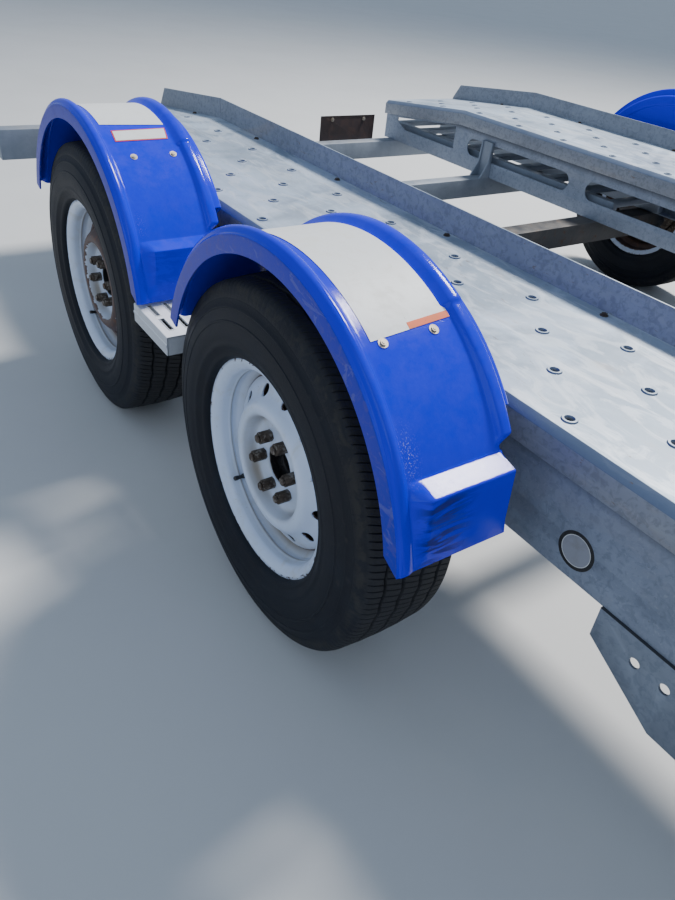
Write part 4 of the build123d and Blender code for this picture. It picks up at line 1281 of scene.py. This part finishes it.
# %% Drum, bore and nuts
DRUM = ((0.023, -0.0245, 0), (0.1346, -0.0245, 0.004), (0.1346, -0.0120, 0.001),
        (0.1655, -0.0120, 0.003), (0.1655, 0.0060, 0.004), (0.1400, 0.0110, 0.004),
        (0.1346, 0.0175, 0.004), (0.113, 0.0325, 0.004), (0.0398, 0.0325, 0.001),
        (0.0398, 0.0425, 0.0015), (0.037, 0.0425, 0.0015), (0.036, 0.026, 0.004),
        (0.032, 0.0165, 0.003), (0.014, 0.0165, 0.003), (0.011, 0.0200, 0.002),
        (0.0005, 0.0205, 0), (0.0005, 0.0100, 0), (0.023, 0.0100, 0))
BOLT_CIRCLE, NUT_START, NUT_SEAT = 0.058, 10.0, 0.0386


def nut_tree():
    tree, source, sink = repeat_tree("wheel_nuts", [
        ("Across Corners", FLOAT, 0.0240), ("Height", FLOAT, 0.0270),
        ("Seat Radius", FLOAT, 0.0132), ("Seat Height", FLOAT, 0.003),
        ("Stud Radius", FLOAT, 0.0082), ("Stud Height", FLOAT, 0.0045)])
    out = source.outputs
    radius = computed(tree, "MULTIPLY", out["Across Corners"], 0.5)
    nut = stacked(tree, (20, out["Seat Radius"], out["Seat Height"]), (6, radius, out["Height"]),
                  (12, out["Stud Radius"], out["Stud Height"]))
    return close_tree(tree, source, sink, aligned(tree, out["Geometry"], nut))


NUTS = nut_tree()
for (axle, hand), centre in wheels.items():
    side = SIDES[hand]
    places = around_axle(centre, side, BOLT_CIRCLE, 6, NUT_SEAT, NUT_START)
    nuts = grown("nuts", seeds("nuts", places), NUTS, RUSTY_IRON)
    drum = turned("drum", eased(DRUM), centre, side, 96)
    mesh = edited(nuts.data, lambda bm: bmesh.ops.bevel(
        bm, geom=bm.edges, offset=0.0009, segments=1, affect="EDGES"),
        lambda bm: bm.from_mesh(drum))
    smooth(marked(mesh, bore=from_axle(mesh, centre, side)[0] < 0.0375), 40)
    nuts.name = f"rusty_hub_{axle}_{hand}"
    finished(nuts, f"wheel_{axle}_{hand}", RUSTY_IRON, [f"hub_{axle}_{hand}"])
print("hub faces", len(nuts.data.polygons))

# %% [markdown]
# ## Valves
# Each wheel has a black rubber valve by its lip: a stem that leans outward and a cap.

# %% Valve stems
VALVE = ((0.0, 0.0, 0), (0.0058, 0.0, 0.001), (0.0050, 0.006, 0.001), (0.0040, 0.0065, 0.0005),
         (0.0040, 0.018, 0.0005), (0.0048, 0.0185, 0.0005), (0.0048, 0.027, 0.001), (0.0, 0.028, 0))
VALVE_ANGLE, VALVE_RADIUS, VALVE_OUT = {"front": 221.0, "rear": 232.0}, 0.1755, 0.044
for (axle, hand), centre in wheels.items():
    side, stem = SIDES[hand], eased(VALVE)
    ring = polar((0, 0), stem[None, :, 0], full_turn(14)[:, None], stem[None, :, 1])
    mesh = outward(mesh_of(f"valve_{axle}_{hand}", woven(ring[..., [0, 2, 1]], across=False)))
    angle = math.radians(VALVE_ANGLE[axle])
    root = Vector(polar((centre.x, centre.z), VALVE_RADIUS, angle, side * (TRACK_HALF + VALVE_OUT)))
    lean = Vector((-0.28 * math.cos(angle), side, -0.28 * math.sin(angle)))
    mesh.transform(Matrix.Translation(root) @ lean.to_track_quat("Z", "Y").to_matrix().to_4x4())
    smooth(mesh, 40)
    finished(linked(mesh.name, mesh), f"wheel_{axle}_{hand}", BLACK_VINYL)
print("valves", len(wheels))

# %% [markdown]
# ## Labels, screws and the round sticker
# The guards carry blank white labels. A label is a thin skin that follows the arch, so it
# is another polar grid, a fraction of a millimetre over the tread. Plates and signs stay
# blank here: their paper, dirt and edges are finished, and their words are left off.

# %% Skins on the arch
SKIN_THICK = 0.0003


def skin(name, axle, hand, corners, finish, rise):
    """A patch on the guard's tread, from its four corners (degrees, inward), lower ones first."""
    u, v = np.meshgrid(np.linspace(0, 1, 40), np.linspace(0, 1, 16), indexing="ij")
    degrees, inward = [(a * (1 - v) + b * v) * (1 - u) + (c * (1 - v) + d * v) * u
                       for a, b, c, d in zip(*corners)]
    top, under = [polar(arch(axle, hand), GUARD_RADIUS + lift, np.radians(degrees),
                        SIDES[hand] * (GUARD_Y - inward)) for lift in (rise, rise - SKIN_THICK)]
    outline = [np.concatenate([p[0], p[1:, -1], p[-1, -2::-1], p[-2:0:-1, 0]])
               for p in (top, under)]
    mesh = outward(mesh_of(name, woven(top, False, False), woven(under, False, False),
                           woven(np.stack(outline), around=False)))
    smooth(mesh, 40)
    return finished(linked(name, mesh), "chassis", finish)


# guard, corners, finish, height over the tread
SKINS = {
    "label_front": ("front", ((57.8, 0.0450), (59.6, 0.1900), (112.0, 0.0450), (112.0, 0.1900)),
                    LABEL, 0.0009),
    "label_strip": ("front", ((58.7, 0.1140), (59.6, 0.1895), (60.3, 0.1140), (61.2, 0.1895)),
                    ORANGE, 0.0012),
    "label_rear": ("rear", ((74.3, 0.0400), (72.9, 0.1890), (112.0, 0.0400), (112.0, 0.1890)),
                   LABEL, 0.0009),
    "sign_edge": ("rear", ((64.8, 0.0530), (65.1, 0.1750), (70.6, 0.0560), (71.1, 0.1820)),
                  RED_EDGE, 0.0009),
    "sign": ("rear", ((65.3, 0.0560), (65.6, 0.1720), (70.1, 0.0590), (70.6, 0.1790)),
             LABEL, 0.0012),
}
SCREWS = (("front", 57.0, 0.0625), ("front", 57.5, 0.1525), ("rear", 57.9, 0.0780),
          ("rear", 58.2, 0.1690))
for hand in SIDES:
    for name, (axle, corners, finish, rise) in SKINS.items():
        skin(f"{name}_{hand}", axle, hand, corners, finish, rise)
    places = []
    for axle, degrees, inward in SCREWS:
        a = math.radians(degrees)
        at = polar(arch(axle, hand), GUARD_RADIUS - 0.0002, a, SIDES[hand] * (GUARD_Y - inward))
        places.append((at.tolist(), (math.cos(a), 0, math.sin(a))))
    fasteners(f"guard_screws_{hand}", places, SCREW_ZINC, Sides=16, Washer_Radius=0.0078,
              Washer_Height=0.0014, Head_Radius=0.0046, Head_Height=0.0020, Crown_Radius=0.0026,
              Crown_Height=0.0006)


# %% [markdown]
# The web carries a round sticker with a black ring, left blank like the labels. A painted
# image would show its pixels close up, so three thin rings are laid one over another.

# %% The round sticker on the webs
# outer and inner radius, thickness, finish
STICKER_RINGS = {"ring": (0.0335, 0.0270, 0.0004, BLACK_VINYL),
                 "line": (0.0272, 0.0262, 0.0005, LABEL), "face": (0.0264, 0.0002, 0.0004, STICKER)}
STICKER_AT = (-0.041, 0.4333)
for hand, side in SIDES.items():
    for ring, (radius, inner, thick, finish) in STICKER_RINGS.items():
        name = f"sticker_{ring}_{hand}"
        rows = [polar(STICKER_AT, r, full_turn(64), side * (WEB_Y + out)) for r, out in (
            (inner, 0.0), (inner, thick), (radius, thick), (radius, 0.0))]
        mesh = smooth(outward(mesh_of(name, woven(np.stack(rows, 1)))), 40)
        finished(linked(name, mesh), "chassis", finish)

print("sticker rings", len(STICKER_RINGS) * len(SIDES))

# %% [markdown]
# A dark line runs where a gusset meets the web. Painted into the zinc it would blur. A dark
# strip five millimetres deep and one high keeps it fine and sharp.

# %% The seam over the gussets
SEAM_SECTION = ((0, 0), (0.0052, 0), (0.0050, 0.0008), (0, 0.0014))
gusset_low, gusset_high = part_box("beam_gussets")
for hand, side in SIDES.items():
    section = [(WEB_Y + out, gusset_high.z + up) for out, up in SEAM_SECTION]
    faces = along_x(section, (gusset_low.x, gusset_high.x), side)
    seam = outward(capped(mesh_of(f"gusset_seam_{hand}", faces)))
    finished(linked(f"gusset_seam_{hand}", seam), "chassis", SEAM_DARK)

print("seam at", round(gusset_high.z, 4))

# %% [markdown]
# The blank plate is held by two bolts with their nuts behind. They could be modelled anew,
# but the fastener tree serves again, once facing back and once facing forward.

# %% Bolts through the blank plate
PLATE_BOLT_HALF, PLATE_BOLT_DROP = 0.089, 0.016
plate_low, plate_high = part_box("plate_bracket")
for name, x, way in (("heads", plate_low.x, -1), ("nuts", plate_high.x, 1)):
    middle = (plate_low.y + plate_high.y) / 2
    places = [((x, middle + half * PLATE_BOLT_HALF, plate_high.z - PLATE_BOLT_DROP), (way, 0, 0))
              for half in (-1, 1)]
    fasteners(f"plate_bolt_{name}", places, SCREW_ZINC)
print("labels and screws done")

# %% [markdown]
# ## Floor and light
# The trailer stands on a pale plain floor. The photo's light comes from high behind, over
# the trailer's left side, so the decks are bright and the near side is in soft shade. One
# large key does that, a weak fill lifts the near side, and a pale world fills the rest.

# %% Stage
FLOOR_HALF = 300
floor_mesh = mesh_of("floor", ([(x * FLOOR_HALF, y * FLOOR_HALF, 0) for x, y in (
    (-1, -1), (1, -1), (1, 1), (-1, 1))], [(0, 1, 2, 3)]))
floor = linked("floor", floor_mesh)
floor_finish = Finish("pale_floor", (0.62, 0.62, 0.61), 0.75)
floor_finish.layer(floor_finish.patches(1.5, 0.35, 0.7), (0.56, 0.56, 0.55), 0.4)
floor.data.materials.append(floor_finish.done())

world = bpy.data.worlds.new("studio")
bpy.context.scene.world = world
world.use_nodes = True
sky = world.node_tree.nodes["Background"]
sky.inputs["Color"].default_value = (0.60, 0.76, 1.0, 1)
sky.inputs["Strength"].default_value = 0.6


def soft_light(name, at, target, size, watts, colour):
    lamp = bpy.data.lights.new(name, "AREA")
    lamp.shape, lamp.size, lamp.size_y = "RECTANGLE", size[0], size[1]
    lamp.energy, lamp.color = watts, colour
    obj = bpy.data.objects.new(name, lamp)
    obj.location = at
    obj.rotation_euler = (Vector(target) - Vector(at)).to_track_quat("-Z", "Y").to_euler()
    bpy.context.scene.collection.objects.link(obj)
    return obj


soft_light("key", (-1.9, 4.1, 7.3), (-0.5, -0.6, 0.5), (2.0, 1.6), 1250, (1.0, 0.98, 0.95))
soft_light("fill", (2.0, -6.0, 3.2), (-0.5, -0.9, 0.5), (5.0, 3.0), 60, (0.80, 0.88, 1.0))

# %% [markdown]
# The photo was taken from close by, above the near wheels. A camera could be moved by eye
# until the pictures look alike. This one was fitted to the near wheel instead: its circles
# fix the three angles, the place and the focal length.

# %% Camera
swing, tip, roll = [math.radians(degrees) for degrees in (37.26, 35.0, -6.46)]
FOCAL_PIXELS, PICTURE_PIXELS, SENSOR = 727, 675, 36
forward = Vector((-math.cos(tip) * math.cos(swing), math.cos(tip) * math.sin(swing),
                  -math.sin(tip)))
level = Vector((math.sin(swing), math.cos(swing), 0))
under = -(level.cross(forward))
right = math.cos(roll) * level + math.sin(roll) * under
down = -math.sin(roll) * level + math.cos(roll) * under
lens = bpy.data.cameras.new("photo_camera")
lens.sensor_fit, lens.sensor_width = "HORIZONTAL", SENSOR
lens.lens = SENSOR * FOCAL_PIXELS / PICTURE_PIXELS
camera = bpy.data.objects.new("photo_camera", lens)
camera.matrix_world = Matrix.Translation((0.400, -1.795, 1.159)) @ Matrix(
    (right, -down, -forward)).transposed().to_4x4()
bpy.context.scene.collection.objects.link(camera)
bpy.context.scene.camera = camera
print("camera at", [round(v, 3) for v in camera.location])
